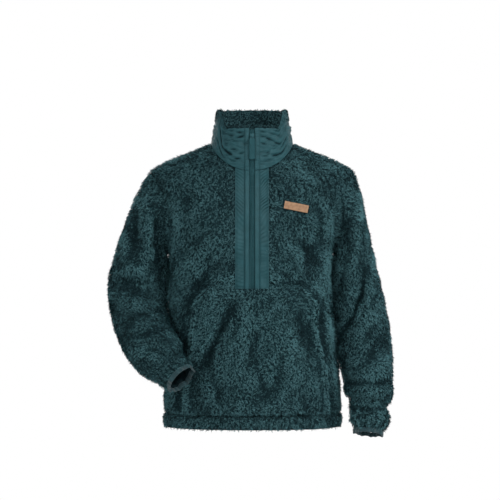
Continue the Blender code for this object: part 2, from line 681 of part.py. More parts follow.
def collar_ring(turn, rise):
    """Nylon collar: superellipse rings that lean in a little towards the top."""
    side, ahead = np.sin(turn), np.cos(turn)
    bend = 2.0 / COLLAR_POWER
    half, level = read(COLLAR, "half", rise), read(COLLAR, "side", rise)
    depth = np.where(ahead > 0, -read(COLLAR, "front", rise), read(COLLAR, "back", rise))
    middle = np.where(ahead > 0, read(COLLAR, "fore", rise), read(COLLAR, "aft", rise))
    x = half * np.sign(side) * np.abs(side) ** bend
    y = depth * np.abs(ahead) ** bend
    z = level + (middle - level) * collar_fall(ahead, rise)
    return np.stack(np.broadcast_arrays(x, y, z), axis=-1)


def collar_skin(turn, rise, depth):
    """Collar's points, depth below its nylon face. Its foot is the neck edge."""
    across = collar_ring(turn + STEP, rise) - collar_ring(turn - STEP, rise)
    upward = collar_ring(turn, rise + STEP) - collar_ring(turn, rise - STEP)
    normals = unit(np.cross(across, upward))
    above = collar_ring(turn, rise) - normals * np.asarray(depth)[..., None]
    foot = neck_edge(turn, PLACKET_SUNK + depth)
    return np.where((rise > 0)[..., None], above, foot)


def collar_turn_at(x, rise):
    """Angle around the collar's front at a distance x from the zip."""
    above = np.arcsin((x / read(COLLAR, "half", rise)) ** (COLLAR_POWER / 2))
    return np.where(rise > 0, above, turn_at(x, 0.0))


def neck_turns(rises):
    """Angles around the neck at which placket, front and back have points.

    Near the zip they keep their distance from it on every row."""
    rises = np.asarray(rises)[:, None]
    placket = collar_turn_at(np.array(placket_marks()), rises)
    panel = FRONT_TURNS[-1, SLOT_LAST + 1:]
    behind = np.linspace(math.pi / 2, math.pi, BACK_CELLS // 2 + 1)[1:]
    rest = np.broadcast_to(np.concatenate([panel, behind]), (len(rises), len(panel) + len(behind)))
    left = np.concatenate([placket, rest], axis=1)
    return np.concatenate([left, 2 * math.pi - left[:, -2::-1]], axis=1)


def placket_marks():
    """Distances from the zip of the placket's lines of points."""
    return (*WELT, 0.5 * (WELT[-1] + SLOT_HALF), SLOT_HALF - GAP)


def welt_height():
    """How far each of the placket's lines of points stands out."""
    return np.array([0.0, WELT_HEIGHT, WELT_HEIGHT, 0.0, 0.0, 0.0])


def make_collar():
    """Nylon outer collar, with the welt beside the zip carried on up both ends."""
    turns = neck_turns(COLLAR_RISES)
    raised = np.zeros(turns.shape)
    raised[:, : len(welt_height())] = welt_height()
    raised[:, -len(welt_height()):] = welt_height()[::-1]
    rises = np.broadcast_to(np.array(COLLAR_RISES)[:, None], turns.shape)
    outer = collar_skin(turns, rises, -raised)
    inner = collar_skin(turns, rises, np.full(turns.shape, NYLON))
    wall("collar_outer", outer, inner, finish("nylon_collar", "nylon"))


def make_lining():
    """Fleece inside the collar, with its rim rolled over the top of the nylon."""
    plain = np.full(len(COLLAR_RISES), NYLON + GAP)
    rise = np.append(COLLAR_RISES, RIM["rise"])
    face = np.append(plain, RIM["outer"])
    back = np.append(plain + LINING, RIM["inner"])
    face[0] = NYLON + 2 * GAP
    back[0] = FLEECE - PLACKET_SUNK
    turns = neck_turns(rise)
    rises = np.broadcast_to(rise[:, None], turns.shape)
    outer = collar_skin(turns, rises, np.broadcast_to(face[:, None], turns.shape))
    inner = collar_skin(turns, rises, np.broadcast_to(back[:, None], turns.shape))
    wall("collar_lining", outer, inner, finish("fleece_lining", "fleece"))


# ------------------------------------------------------------------ placket and zip
def make_placket(name, side):
    """Nylon half of the placket in its half of the slot, with the raised welt."""
    levels = LEVELS[NOTCH_ROW:].copy()
    levels[0] += GAP
    marks = side * np.array(placket_marks())
    turns = np.array([turn_at(marks, level) for level in levels])
    grid = np.broadcast_to(levels[:, None], turns.shape)
    raised = np.broadcast_to(welt_height(), turns.shape)
    outer = body_skin(turns, grid, PLACKET_SUNK - raised) - [0.0, GAP / 2, 0.0]
    inner = body_skin(turns, grid, PLACKET_SUNK + PLACKET) - [0.0, GAP / 2, 0.0]
    wall(name, outer, inner, finish("nylon_" + name, "nylon"))


def tape_skin(side, depth):
    """Strip of zip tape up the placket and on up the collar."""
    marks = side * np.array([GAP / 2, TAPE_HALF])
    levels = LEVELS[NOTCH_ROW:-1].copy()
    levels[0] += GAP
    turns = np.array([turn_at(marks, level) for level in levels])
    grid = np.broadcast_to(levels[:, None], turns.shape)
    lower = body_skin(turns, grid, PLACKET_SUNK + depth) - [0.0, GAP / 2, 0.0]
    rises = np.array(TAPE_RISES)[:, None]
    turns = side * collar_turn_at(np.abs(marks), rises)
    upper = collar_skin(turns, np.broadcast_to(rises, turns.shape), np.full(turns.shape, depth))
    return np.concatenate([lower, upper])


def make_tape(name, side):
    """Half of the closed zip."""
    wall(name, tape_skin(side, 0.0004), tape_skin(side, 0.0016), finish(name, "tape"))


def zip_place():
    """Matrix of the pull's joint: its Z runs up the zip and its -Y points out."""
    rises = np.array([SLIDER_RISE, SLIDER_RISE - 0.5])
    low_high = collar_skin(np.zeros(2), rises, np.zeros(2))
    up = Vector(low_high[0] - low_high[1]).normalized()
    turned = Matrix.Rotation(math.atan2(-up.y, up.z), 4, "X")
    out = turned.to_3x3() @ Vector((0.0, -PIVOT_OUT, 0.0))
    return Matrix.Translation(Vector(low_high[0]) + out) @ turned


def block(name, size, centre, bevel=0.0, segments=2):
    """A box of the given size about a centre, with rounded edges."""
    bpy.ops.mesh.primitive_cube_add(size=1.0, location=centre)
    piece = bpy.context.object
    piece.name = name
    piece.data.name = name
    piece.data.transform(Matrix.Diagonal((*size, 1.0)))
    for holder in list(piece.users_collection):
        holder.objects.unlink(piece)
    if bevel:
        rounding = piece.modifiers.new("rounding", "BEVEL")
        rounding.width = bevel
        rounding.segments = segments
    return piece


def combine(piece, cutter, operation, place_matrix):
    """A Boolean on piece, with cutter kept hidden in the collection of cutters."""
    CUTTERS.objects.link(cutter)
    cutter.hide_render = True
    cutter.display_type = "WIRE"
    cutter.matrix_world = place_matrix @ cutter.matrix_world
    change = piece.modifiers.new(cutter.name, "BOOLEAN")
    change.operation = operation
    change.object = cutter


def make_slider():
    """Slider on the closed zip, with the bridge that holds the pull."""
    matrix = zip_place()
    thick = SLIDER_SIZE[1]
    back = PIVOT_OUT - SLIDER_LIFT
    body = block("zip_slider", SLIDER_SIZE, (0.0, back - thick / 2, -SLIDER_DROP), SLIDER_ROUND)
    body.matrix_world = matrix @ body.matrix_world
    foot = back - thick
    width, height, length = BRIDGE_SIZE
    middle = foot + BRIDGE_SUNK - height / 2
    bridge = block("bridge", (width, height + 2 * BRIDGE_SUNK, length), (0.0, middle, 0.0))
    hollow = block(
        "bridge_hollow",
        (width * 2, height - BRIDGE_WALL, length - 2 * BRIDGE_WALL),
        (0.0, foot - (height - BRIDGE_WALL) / 2, 0.0),
    )
    combine(bridge, hollow, "DIFFERENCE", Matrix.Identity(4))
    combine(body, bridge, "UNION", matrix)
    hollow.matrix_world = matrix @ hollow.matrix_world
    place(body, finish("slider", "metal"))


def make_pull():
    """Pull tab: a plate whose top is a crossbar inside the slider's bridge."""
    length = PULL_SIZE[2]
    plate = block("zip_pull", PULL_SIZE, (0.0, 0.0, 0.0), PULL_ROUND, 1)
    plate.data.transform(Matrix.Translation((0.0, 0.0, CROSSBAR_HALF - length / 2)))
    plate.matrix_world = zip_place()
    window = block("pull_window", WINDOW_SIZE, (0.0, 0.0, -CROSSBAR_HALF - WINDOW_SIZE[2] / 2))
    combine(plate, window, "DIFFERENCE", zip_place())
    place(plate, finish("pull", "nylon"))


# ------------------------------------------------------------------ label
def locate(x, z):
    """Angle and level at which the plain front passes through x and z."""
    level = np.array(z, dtype=float)
    for _ in range(LOCATE_ROUNDS):
        turn = turn_at(x, level)
        level = z + read(BODY, "dip", level) * np.abs(np.cos(turn)) ** DIP_POWER
    return turn_at(x, level), level


def make_label():
    """Bare leather label sewn flat on the wearer's left chest."""
    width, height = LABEL_SIZE
    over, up = np.meshgrid(np.linspace(-0.5, 0.5, 5) * width, np.linspace(-0.5, 0.5, 3) * height)
    x = LABEL_PLACE[0] + over * math.cos(LABEL_TILT) - up * math.sin(LABEL_TILT)
    z = LABEL_PLACE[1] + over * math.sin(LABEL_TILT) + up * math.cos(LABEL_TILT)
    turns, levels = locate(x, z)
    lift = 2 * GAP
    inner = body_skin(turns, levels, -lift)
    outer = body_skin(turns, levels, -lift - LABEL)
    wall("chest_label", outer, inner, finish("leather", "leather"))


# ------------------------------------------------------------------ build
for old in list(bpy.data.objects):
    bpy.data.objects.remove(old, do_unlink=True)

COLLECTION = bpy.data.collections.new("sherpa_jacket")
CUTTERS = bpy.data.collections.new("cutters")
bpy.context.scene.collection.children.link(COLLECTION)
bpy.context.scene.collection.children.link(CUTTERS)

make_front()
make_back()
make_pocket()
left_end = make_sleeve("sleeve_left", SLEEVE_LEFT, 1, LEFT_SLEEVE_FOLDS)
right_end = make_sleeve("sleeve_right", SLEEVE_RIGHT, -1, RIGHT_SLEEVE_FOLDS)
make_cuff("cuff_left", SLEEVE_LEFT, *left_end)
make_cuff("cuff_right", SLEEVE_RIGHT, *right_end)
make_collar()
make_lining()
make_placket("placket_left", 1)
make_placket("placket_right", -1)
make_tape("zip_tape_left", 1)
make_tape("zip_tape_right", -1)
make_slider()
make_pull()
make_label()
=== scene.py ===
"""Looks of a half-zip pullover of high-pile fleece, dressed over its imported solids.

Metres in the frame's own axes: +Z up, the wearer faces -Y, the wearer's left is
+X and the origin lies between the shoulders. Every panel is a surface of two
parameters worked out as whole arrays from the tables below. The pile, the
stitches and the zip are many small shapes carried along those surfaces.
"""

import math

import bpy
import numpy as np
from bpy.props import FloatProperty, FloatVectorProperty, IntProperty, PointerProperty
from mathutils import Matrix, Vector


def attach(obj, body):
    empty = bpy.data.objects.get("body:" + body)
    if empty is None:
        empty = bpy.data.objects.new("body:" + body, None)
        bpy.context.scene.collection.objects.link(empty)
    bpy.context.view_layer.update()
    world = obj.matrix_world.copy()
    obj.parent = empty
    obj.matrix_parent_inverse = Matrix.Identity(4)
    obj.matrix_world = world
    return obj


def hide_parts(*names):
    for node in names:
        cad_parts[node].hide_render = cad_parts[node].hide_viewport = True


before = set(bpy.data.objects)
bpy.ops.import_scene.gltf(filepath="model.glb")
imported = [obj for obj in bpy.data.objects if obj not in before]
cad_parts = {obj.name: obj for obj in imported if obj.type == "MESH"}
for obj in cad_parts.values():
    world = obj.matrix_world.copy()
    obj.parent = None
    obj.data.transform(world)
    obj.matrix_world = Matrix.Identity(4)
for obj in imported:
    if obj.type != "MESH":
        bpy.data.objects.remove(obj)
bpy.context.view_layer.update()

bl_info = {
    "name": "Fleece pullover",
    "version": (1, 0, 0),
    "blender": (4, 5, 0),
    "location": "3D View > Sidebar > Pullover",
    "description": "Dresses the solids of a half-zip fleece pullover",
    "category": "Object",
}

# ---- sizes of the cut
GAP = 0.0003             # between two pieces at a seam
NECK_GAP = 0.0008        # between the body's neck edge and the collar
FLEECE = 0.008           # backing and pile together
ROOT_DEPTH = 0.0058      # where the pile stands, below its tips
BACKING_FACE = 0.0054    # outer face of the knitted backing, below the tips
NYLON = 0.0014           # thickness of the collar's nylon
PLACKET = 0.0022         # thickness of the placket
PLACKET_SUNK = 0.0026    # face of the placket, below the tips
PUCKER = 0.00055         # height of the placket's puckers
PUCKER_PITCH = 0.0084
POCKET_FACE = 0.0002     # the pouch's backing, below the tips of the front's pile
POCKET_BACK = 0.0022
POCKET_ROLL = 0.0040     # height of the turned edge at the pouch's two openings
POCKET_ROLL_AT = 0.006
POCKET_ROLL_REACH = 0.007
POCKET_REACH = 0.33      # width of the pouch, about
POCKET_RAMP = 2          # rows over which the pouch's pile meets the front's above it
POCKET_FURROW = 0.0035   # trough of the front along the pouch's two openings
TOP_FURROW = 0.0030      # trough of the front above the pouch
LABEL = 0.0012           # thickness of the label

# Levels of the body, from the hem up, and the forms of the hem's casing.
HEM_LEVEL = -0.678
HEM_ROUND = 0.006
CASING_LEVEL = -0.645    # the casing's stitch line
CASING_SWELL = 0.0022
CASING_SWELL_REACH = 0.012
CASING_NIP = 0.0050
CASING_NIP_REACH = 0.0045
CASING_TRIM = (0.62, 0.0032)  # share of the pile's length lost at the line, and reach
HEM_TRIM = (0.35, 0.0050)
NOTCH_LEVEL = -0.3475    # where the placket and the pouch meet
ARMPIT_LEVEL = -0.270
SHOULDER_LEVEL = -0.067
DIP_POWER = 1.4          # how soon the front's dip fades towards the sides

SLOT_HALF = 0.0400       # half width of the front's slot for the placket
# Distances from the zip at which the raised strip beside it starts and ends.
WELT = (0.0061, 0.0069, 0.0158, 0.0166)
WELT_HEIGHT = 0.0015
GROOVE = 0.0010          # how deep the nylon sinks beside the strip, where and how wide
GROOVE_AT = 0.0010
GROOVE_REACH = 0.0008
STEP = 1e-4              # turn, level or rise from a point to where its directions are read

# Cells of the forms along the rows and up the columns of front and back.
REFINE = 6               # for each cell of the solids
BACKING_STEP = 2         # for each cell of the backing
SIDE_CELLS = 3 * REFINE
POUCH_CELLS = 6 * REFINE
SLOT_CELLS = 3 * REFINE
BACK_CELLS = 16 * REFINE
LOWER_CELLS = 10         # from here on in cells of the solids
MIDDLE_CELLS = 3
ARMHOLE_CELLS = 11
SHOULDER_CELLS = 6


def chart(names, rows):
    """Columns by name, from rows of whole numbers in the order of the names. The
    number after a name is what its column is divided by: 1000 for millimetres."""
    table = {}
    for label, column in zip(names.split(), np.array(rows, dtype=float).T):
        name, _, parts = label.partition(":")
        table[name] = column / float(parts or 1)
    return table


# The plain body's rings, hem to neck.
BODY = chart("level:1000 half:10000 shift:1000 front:1000 back:1000 dip:1000 rise:1000 inset:10000"
             " power:100", (
    (-678, 2125, 1, 129, 112, 0, 0, 0, 225), (-600, 2115, 1, 132, 111, 0, 0, 0, 225),
    (-540, 2085, 0, 133, 110, 0, 0, 0, 220), (-460, 2025, -2, 134, 110, 0, 0, 0, 215),
    (-365, 1960, -5, 135, 113, 0, 0, 0, 215), (-310, 1945, -5, 135, 117, 0, 0, 0, 220),
    (-270, 1970, -4, 134, 119, 0, 0, 0, 220), (-240, 2030, -3, 132, 121, 3, 0, 45, 220),
    (-200, 2150, -2, 129, 121, 10, 1, 145, 215), (-150, 2310, -1, 124, 118, 22, 3, 280, 210),
    (-110, 2415, 0, 119, 110, 38, 7, 285, 205), (-85, 2445, 0, 115, 103, 48, 10, 130, 200),
    (-67, 2450, 0, 112, 97, 55, 12, 0, 200), (-48, 2180, 0, 109, 91, 61, 12, 0, 200),
    (-24, 1610, 0, 103, 81, 66, 12, 0, 205), (0, 1000, 0, 95, 70, 70, 12, 0, 210),
))
# The pouch's two edges.
POUCH = chart("level:10000 right:1000 left:1000", (
    (-6780, -160, 180), (-6450, -160, 180), (-5560, -152, 175), (-5000, -146, 165), (-4450, -138, 150),
    (-3950, -138, 153), (-3700, -126, 139), (-3475, -105, 119), (-3000, -100, 112), (-2000, -100, 110),
    (-1000, -98, 104), (-480, -90, 94), (0, -66, 66),
))
# The collar's rings, from the neck seam (0) to the nylon's rim (1): half width, depth
# in front and behind, and height at the sides, in front and behind.
COLLAR = chart("rise:100 half:10000 front:10000 back:10000 side:10000 fore:10000 aft:10000", (
    (0, 980, 927, 680, -15, -700, 105), (15, 962, 925, 680, 120, -560, 200),
    (50, 912, 905, 670, 400, -200, 450), (85, 862, 880, 650, 640, 160, 690),
    (100, 842, 868, 640, 730, 305, 785), (110, 836, 860, 635, 790, 375, 845),
))
COLLAR_POWER = 2.1
COLLAR_RISES = (0.0, 0.12, 0.30, 0.50, 0.70, 0.88, 1.0)
TAPE_ENDS = (0.12, 0.96)
RIM_CORNER = (0.45, 0.72)  # the rim drops in front between the turns of these cosines
RIM_GATHER = 0.0005      # waves along the collar's rim: height, counts a turn and start
RIM_GATHERS = (17, 27, 41)
RIM_GATHER_START = 0.8
COLLAR_RIPPLES = ((0.0006, 2.2, 0.020, 13), (0.0004, 2.6, 0.009, 14))  # height, flatness, size, seed
CREASE_BREADTH = 1.25    # how much wider and deeper the creases are than their table says
CREASE_DEPTH = 1.6
CREASE_TURN = 60.0       # degrees of turn that count as much as the collar's whole rise
CREASE_RIDGE = (0.55, 1.9, 1.2)  # a crease's ridge in shares of it: height, place and reach
ROLL_DOWN = 0.34         # how far the lining's rim rolls down outside, at the sides
ROLL_SIDE = (0.62, 0.30)  # sine of the turn where the roll begins, and over how much it grows
ROLL_ROWS = (16, 4.0)    # the same in rows of the pile's roots
RIM_TRIM = 0.6           # share of the pile's length lost at the lining's outer edge, where the pile is also painted darker as shade
# The lining's cloth and where its pile stands: inside the collar, then over the rim.
LINING_SKIN = chart("rise:1000 face:10000 back:10000", (
    (0, 20, 36), (250, 18, 32), (500, 18, 32), (750, 18, 32), (980, 18, 32), (1020, 16, 34),
    (1045, 0, 34), (1065, 4, 26), (1075, 10, 18),
))
RIM_ROOTS = chart("rise:1000 depth:10000", (
    (40, 34), (300, 34), (600, 34), (900, 34), (1000, 34), (1040, 32), (1065, 24), (1075, 14), (1066, 4),
    (1045, -2), (1020, -4),
))

# The sleeves: the cap by degrees from the side next to the body, with how far its
# curve runs on from both ends and how steeply it climbs, then the arms' rings.
CAP = chart("angle start:1000 end:1000 climb:100", (
    (0, 10, 20, 80), (45, 22, 35, 20), (90, 34, 60, -20), (135, 30, 100, -45), (180, 16, 140, -53),
))
CAP_SPREAD = 0.32        # how far the cap's lines fan out to front and back
SLEEVE_LEFT = chart("station x:10000 y:1000 z:1000 wide:10000 deep:10000", (
    (0, 2460, 6, -300, 555, 680), (1, 2517, 10, -345, 606, 660), (2, 2579, 9, -390, 641, 640),
    (3, 2658, 2, -440, 655, 620), (4, 2721, -10, -500, 652, 600), (5, 2795, -26, -560, 590, 560),
    (6, 2800, -38, -600, 570, 530), (7, 2745, -46, -627, 430, 450), (8, 2795, -56, -658, 500, 500),
    (9, 2770, -62, -682, 370, 380),
))
SLEEVE_RIGHT = chart("station x:10000 y:1000 z:1000 wide:10000 deep:10000", (
    (0, -2700, 10, -300, 695, 680), (1, -2752, 12, -340, 733, 670), (2, -2754, -2, -380, 711, 650),
    (3, -2692, -34, -418, 653, 610), (4, -2560, -78, -454, 625, 580), (5, -2345, -119, -486, 635, 550),
    (6, -2110, -146, -513, 580, 500), (7, -1890, -160, -532, 450, 440), (8, -1780, -167, -541, 460, 440),
    (9, -1690, -173, -549, 400, 385),
))
# Rows of points down the cap and the arm.
CAP_STEPS = (0.0, 0.07, 0.16, 0.27, 0.40, 0.54, 0.69, 0.84, 1.0)
CUFF_STATION = 9.0
ARM_STEPS = np.arange(0.0, CUFF_STATION + 0.5, 0.5)
# Waves above the cuff: how many round the sleeve, how high, and their turn a station.
GATHERS = chart("count height twist", ((7, 0.0016, 0.8), (12, 0.0011, -0.5), (19, 0.0007, 0.3)))
GATHER_START = 5.5
GATHER_GROWTH = 2.5
CUFF_WIDTH = 0.011
CUFF_THICK = 0.0032
CUFF_RIB = 0.00022
CUFF_PUCKER = 0.0004

FOLD_END = 0.45          # height of a fold at its ends, as a share
FOLD_TURN = 0.5          # how far cloth has to face front or back to show folds in full


def fold_table(front, back):
    """Table of folds from two lists, for the side that faces front and the far one.
    Each runs straight from (x0, z0) to (x1, z1) in millimetres as seen from the
    front, then come the distance at which it has faded and its height, negative for
    a trough, in tenths of a millimetre."""
    rows = [(*row, -1) for row in front] + [(*row, 1) for row in back]
    return chart("x0:1000 z0:1000 x1:1000 z1:1000 width:10000 height:10000 side", rows)


BODY_FOLDS = fold_table((
    (-42, -385, -114, -530, 220, -120), (-86, -375, -150, -500, 260, 75),
    (-50, -285, -158, -366, 200, -90), (-50, -322, -150, -402, 200, 67), (-70, -226, -172, -306, 240, 75),
    (-4, -395, -52, -540, 260, 75), (50, -400, 110, -560, 300, 67), (95, -375, 150, -520, 220, -75),
    (160, -225, 120, -330, 240, -83), (178, -265, 160, -380, 220, 67), (50, -560, 0, -625, 240, -60),
    (-130, -560, -85, -625, 240, 60), (-96, -205, -160, -262, 110, -42), (-62, -250, -140, -322, 100, 45),
    (-75, -345, -168, -418, 100, -45), (-58, -405, -128, -505, 100, 42), (62, -215, 150, -300, 110, 36),
    (60, -300, 118, -338, 100, -36), (172, -135, 180, -235, 90, 51), (158, -150, 168, -250, 90, -45),
    (-172, -150, -182, -250, 90, 45), (20, -430, -10, -520, 110, -36), (80, -470, 52, -600, 120, -39),
    (-100, -520, -72, -630, 110, -39), (-165, -520, -148, -640, 100, 42), (150, -380, 146, -520, 90, 39),
    (176, -372, 178, -500, 90, 39), (-20, -600, -40, -650, 100, 36), (120, -600, 134, -655, 100, -36),
    (-51, -385, -112, -527, 90, -50), (-40, -408, -86, -508, 100, 52), (-154, -405, -130, -480, 110, 45),
    (-70, -566, -88, -612, 90, -46), (-37, -232, -84, -340, 110, 50), (-88, -250, -128, -352, 110, -50),
    (-74, -195, -98, -258, 100, 36), (-46, -282, -156, -366, 90, 36), (-120, -310, -165, -385, 90, 36),
    (38, -98, 74, -126, 120, 36), (64, -234, 78, -250, 100, 36), (72, -232, 137, -318, 100, 52),
    (94, -212, 160, -286, 90, -40), (189, -128, 185, -350, 70, 34), (164, -405, 176, -510, 70, -40),
    (178, -400, 190, -560, 80, 40), (40, -392, 20, -450, 100, 36), (102, -420, 78, -520, 90, 36),
    (10, -520, 34, -600, 90, -36), (-10, -470, -34, -560, 80, 32), (-120, -140, -150, -200, 100, 36),
    (-70, -110, -52, -160, 100, -32),
), (
    (-150, -230, -60, -340, 240, -90), (150, -225, 70, -330, 240, -90), (-168, -290, -80, -410, 240, 75),
    (168, -290, 75, -400, 240, 75), (-40, -370, -120, -530, 260, -90), (30, -390, 115, -560, 260, -90),
    (0, -430, 30, -620, 280, 67), (-130, -500, -70, -630, 260, 67), (-110, -195, -60, -290, 110, 42),
    (120, -190, 50, -300, 110, -42), (-160, -340, -100, -470, 110, -45), (150, -360, 100, -490, 110, 42),
    (-10, -420, -50, -560, 120, 39), (70, -520, 86, -640, 110, -39), (-100, -580, -112, -650, 100, 39),
    (160, -540, 150, -650, 110, 39), (-60, -110, -20, -200, 130, 33), (70, -105, 20, -190, 130, -33),
    (-80, -210, -128, -300, 100, -45), (60, -240, 110, -330, 100, 45), (-60, -400, -110, -500, 90, 45),
    (40, -430, 88, -540, 90, -45), (-10, -520, 20, -600, 90, 36), (-150, -300, -120, -380, 100, 40),
    (140, -420, 155, -520, 90, -40),
))
LEFT_SLEEVE_FOLDS = fold_table((
    (228, -140, 216, -262, 160, -90), (250, -120, 247, -270, 180, 67), (276, -280, 258, -366, 160, -97),
    (258, -366, 222, -436, 170, -97), (306, -370, 250, -460, 190, 75), (310, -460, 262, -545, 180, -75),
    (306, -520, 262, -590, 180, 67), (236, -180, 230, -300, 80, 34), (264, -150, 262, -280, 80, -30),
    (288, -330, 262, -420, 90, 32), (300, -420, 246, -500, 90, -30), (298, -500, 250, -560, 90, 30),
    (227, -119, 225, -202, 80, 50), (225, -202, 203, -280, 80, 45), (253, -160, 248, -250, 80, 50),
    (248, -250, 234, -312, 80, 45), (213, -150, 212, -200, 70, -45), (225, -280, 203, -362, 80, -50),
    (268, -334, 244, -399, 65, -70), (244, -399, 214, -450, 65, -70), (284, -350, 256, -420, 80, 45),
    (296, -210, 286, -300, 90, 36), (214, -450, 199, -505, 80, -60), (199, -505, 225, -565, 80, -60),
    (216, -572, 330, -565, 80, -80), (220, -592, 330, -588, 110, 60), (226, -630, 312, -626, 70, -65),
    (234, -652, 312, -648, 80, 40),
), (
    (270, -130, 240, -260, 200, -83), (306, -330, 230, -380, 180, -97), (312, -380, 240, -440, 200, 75),
    (316, -480, 255, -560, 200, -75), (300, -300, 240, -350, 90, 30), (305, -430, 250, -490, 100, -30),
    (310, -550, 262, -600, 100, 28), (270, -210, 246, -300, 90, 45), (300, -300, 262, -350, 80, -45),
    (306, -420, 262, -500, 80, 40), (230, -572, 320, -580, 70, -40),
))
RIGHT_SLEEVE_FOLDS = fold_table((
    (-276, -170, -286, -268, 170, -90), (-224, -155, -224, -290, 160, -90),
    (-250, -130, -254, -280, 180, 67), (-322, -336, -232, -358, 180, -105),
    (-322, -300, -240, -318, 180, 67), (-322, -372, -240, -390, 180, 90),
    (-268, -462, -216, -444, 160, -90), (-216, -444, -172, -470, 160, -90),
    (-305, -425, -255, -405, 170, -75), (-290, -480, -240, -500, 180, 67),
    (-238, -180, -236, -290, 80, 34), (-262, -190, -268, -290, 80, -30),
    (-300, -395, -250, -378, 90, -32), (-286, -440, -240, -424, 90, 30), (-246, -478, -196, -466, 90, 30),
    (-237, -145, -220, -264, 80, -50), (-220, -264, -215, -344, 80, -45),
    (-234, -166, -242, -274, 80, 50), (-262, -155, -268, -240, 80, 50), (-208, -135, -199, -233, 60, -40),
    (-318, -340, -293, -332, 80, -10), (-293, -332, -241, -354, 80, -26),
    (-284, -475, -223, -451, 80, 50), (-223, -451, -182, -441, 80, 45), (-330, -422, -253, -415, 90, 45),
    (-234, -480, -254, -513, 90, -50), (-280, -395, -225, -405, 80, -40),
    (-310, -310, -262, -300, 80, 40), (-300, -200, -312, -280, 90, 36), (-250, -500, -205, -500, 70, 36),
), (
    (-270, -130, -255, -260, 200, -83), (-330, -320, -255, -350, 180, -90),
    (-335, -350, -260, -385, 200, 83), (-330, -395, -270, -430, 180, -83),
    (-310, -280, -260, -300, 90, -28), (-320, -420, -270, -460, 100, 28),
    (-280, -210, -262, -300, 90, 45), (-320, -340, -270, -365, 80, 50), (-310, -400, -262, -440, 80, -45),
))
TOUCH = 0.0056           # fuller pile where a sleeve lies against the body
SIDE_TOUCH = 0.0024
LUMP_HEIGHT = 0.0011     # slack of the cloth between its folds
LUMP_SIZE = 0.055

# Creases of the nylon collar, from one turn and rise to another. Turns are degrees
# from the zip, positive at the wearer's left.
COLLAR_CREASES = chart("turn0 rise0:100 turn1 rise1:100 width:1000 height:10000", (
    (-58, 62, -50, 40, 34, -22), (-50, 40, -31, 30, 32, -22), (-36, 43, -22, 46, 22, -13),
    (-30, 22, -17, 26, 22, -15), (-34, 15, -22, 17, 22, -13), (-18, 38, -10, 42, 20, -13),
    (-26, 75, -12, 80, 22, -14), (-20, 94, -20, 86, 16, -12), (-46, 84, -28, 80, 24, -13),
    (-44, 60, -26, 60, 26, 12), (-62, 30, -44, 14, 28, -14), (-30, 66, -12, 68, 20, -10),
    (-14, 52, -24, 54, 20, -10), (-40, 92, -30, 93, 18, -9), (-12, 88, -28, 90, 18, -10),
    (12, 80, 20, 78, 22, -13), (20, 78, 34, 66, 24, -15), (12, 65, 21, 60, 20, -13),
    (14, 42, 26, 39, 20, -13), (28, 29, 43, 24, 24, -15), (43, 24, 60, 19, 26, -15),
    (13, 32, 26, 33, 20, -11), (24, 52, 40, 46, 24, 12), (36, 62, 54, 46, 26, -14),
    (30, 86, 50, 78, 22, -12), (12, 90, 28, 92, 18, -10), (13, 52, 22, 50, 18, -10),
    (16, 20, 30, 18, 22, -13), (44, 40, 64, 34, 26, -13), (40, 92, 58, 90, 20, -10),
    (62, 78, 90, 66, 32, -14), (66, 52, 98, 44, 34, 14), (70, 26, 104, 30, 34, -14),
    (-64, 82, -88, 72, 32, -14), (-62, 56, -96, 50, 34, 14), (-68, 22, -100, 34, 34, -14),
    (100, 80, 136, 72, 34, -13), (108, 52, 150, 60, 38, -14), (116, 28, 158, 22, 36, 13),
    (-100, 76, -138, 82, 34, -13), (-104, 46, -148, 56, 38, -14), (-112, 24, -152, 30, 36, 13),
    (150, 84, 196, 80, 32, -12), (160, 40, 204, 46, 36, -13), (166, 14, 198, 20, 30, -11),
))

# The zip's parts, wide, thick and tall.
SLIDER_SIZE = (0.0104, 0.0034, 0.0150)
SLIDER_RISE = 0.80
PULL_SIZE = (0.0132, 0.0017, 0.0560)
BRIDGE_SIZE = (0.0030, 0.0044, 0.0084)
PIVOT_OUT = 0.0052       # the pull's axis, out of the nylon's face
TOOTH_PITCH = 0.00135
LABEL_SIZE = (0.057, 0.0175)
LABEL_PLACE = (0.1035, -0.1560)
LABEL_TILT = math.radians(-11.0)
LABEL_SEAM = 0.0019      # from the label's edge to its stitches and pressed line

# Pitch, length and radius of the stitches.
CUFF_STITCH = (0.0034, 0.0026, 0.00028)
NYLON_STITCH = (0.0032, 0.0024, 0.00026)
PULL_STITCH = (0.0022, 0.0017, 0.00025)
LABEL_STITCH = (0.0024, 0.0018, 0.0002)
PLACKET_SEAMS = ((0.0190, 0.0012), (0.0360, 0.0014))  # distance from the zip, and reach
SEAM_DEPTH = 0.0006

WAVES = 12               # plane waves that add up to one uneven field
SHARP = math.radians(60)  # edges that turn more than this stay hard
CREST_REACH = 4          # cells to the neighbours that a crest stands over
FOLD_UNIT = 0.009        # heights of a fold and of a crest that count as 1 in a lock's tone, which paints highlight on raised cloth and shade in hollows
CREST_UNIT = 0.0022
TONE_LIMITS = (-1.1, 1.2)
TRIM_SHADE = 0.5         # how much darker the pile is painted where seams cut it short, as shade in the seam
LOCK_LENGTHS = (0.75, 1.2)  # shortest and longest lock, as shares of the length set
BLADE_LENGTHS = (0.6, 1.12)
BLADE_WIDTHS = (0.7, 1.3)  # and the spread of the heights at which they bend
BEND_RISE = 0.7          # how far up a blade bends, as a share of the lock's height
FURROW_SHADE = 2.0       # how much more than their height rolls and furrows count in the tone: painted highlight on the rolls, painted shade in the furrows
POUCH_LIGHT = 0.0025     # height that the pouch's pile and the lining's gain in the tone, so they are painted lighter
LINING_LIGHT = 0.0020
BLADE_GRAIN = 1.3        # difference between a lock's blades, as a share of that between locks
CREASE_SHADE = 0.30      # colour of the painted shade in a crease, as a share of the cloth's darker colour
CREASE_GLOSS = 0.02      # gloss left in that painted shade
ACROSS = np.array([1.0, 0.0, 0.0])  # towards the wearer's left
WHITE = (1.0, 1.0, 1.0, 1.0)
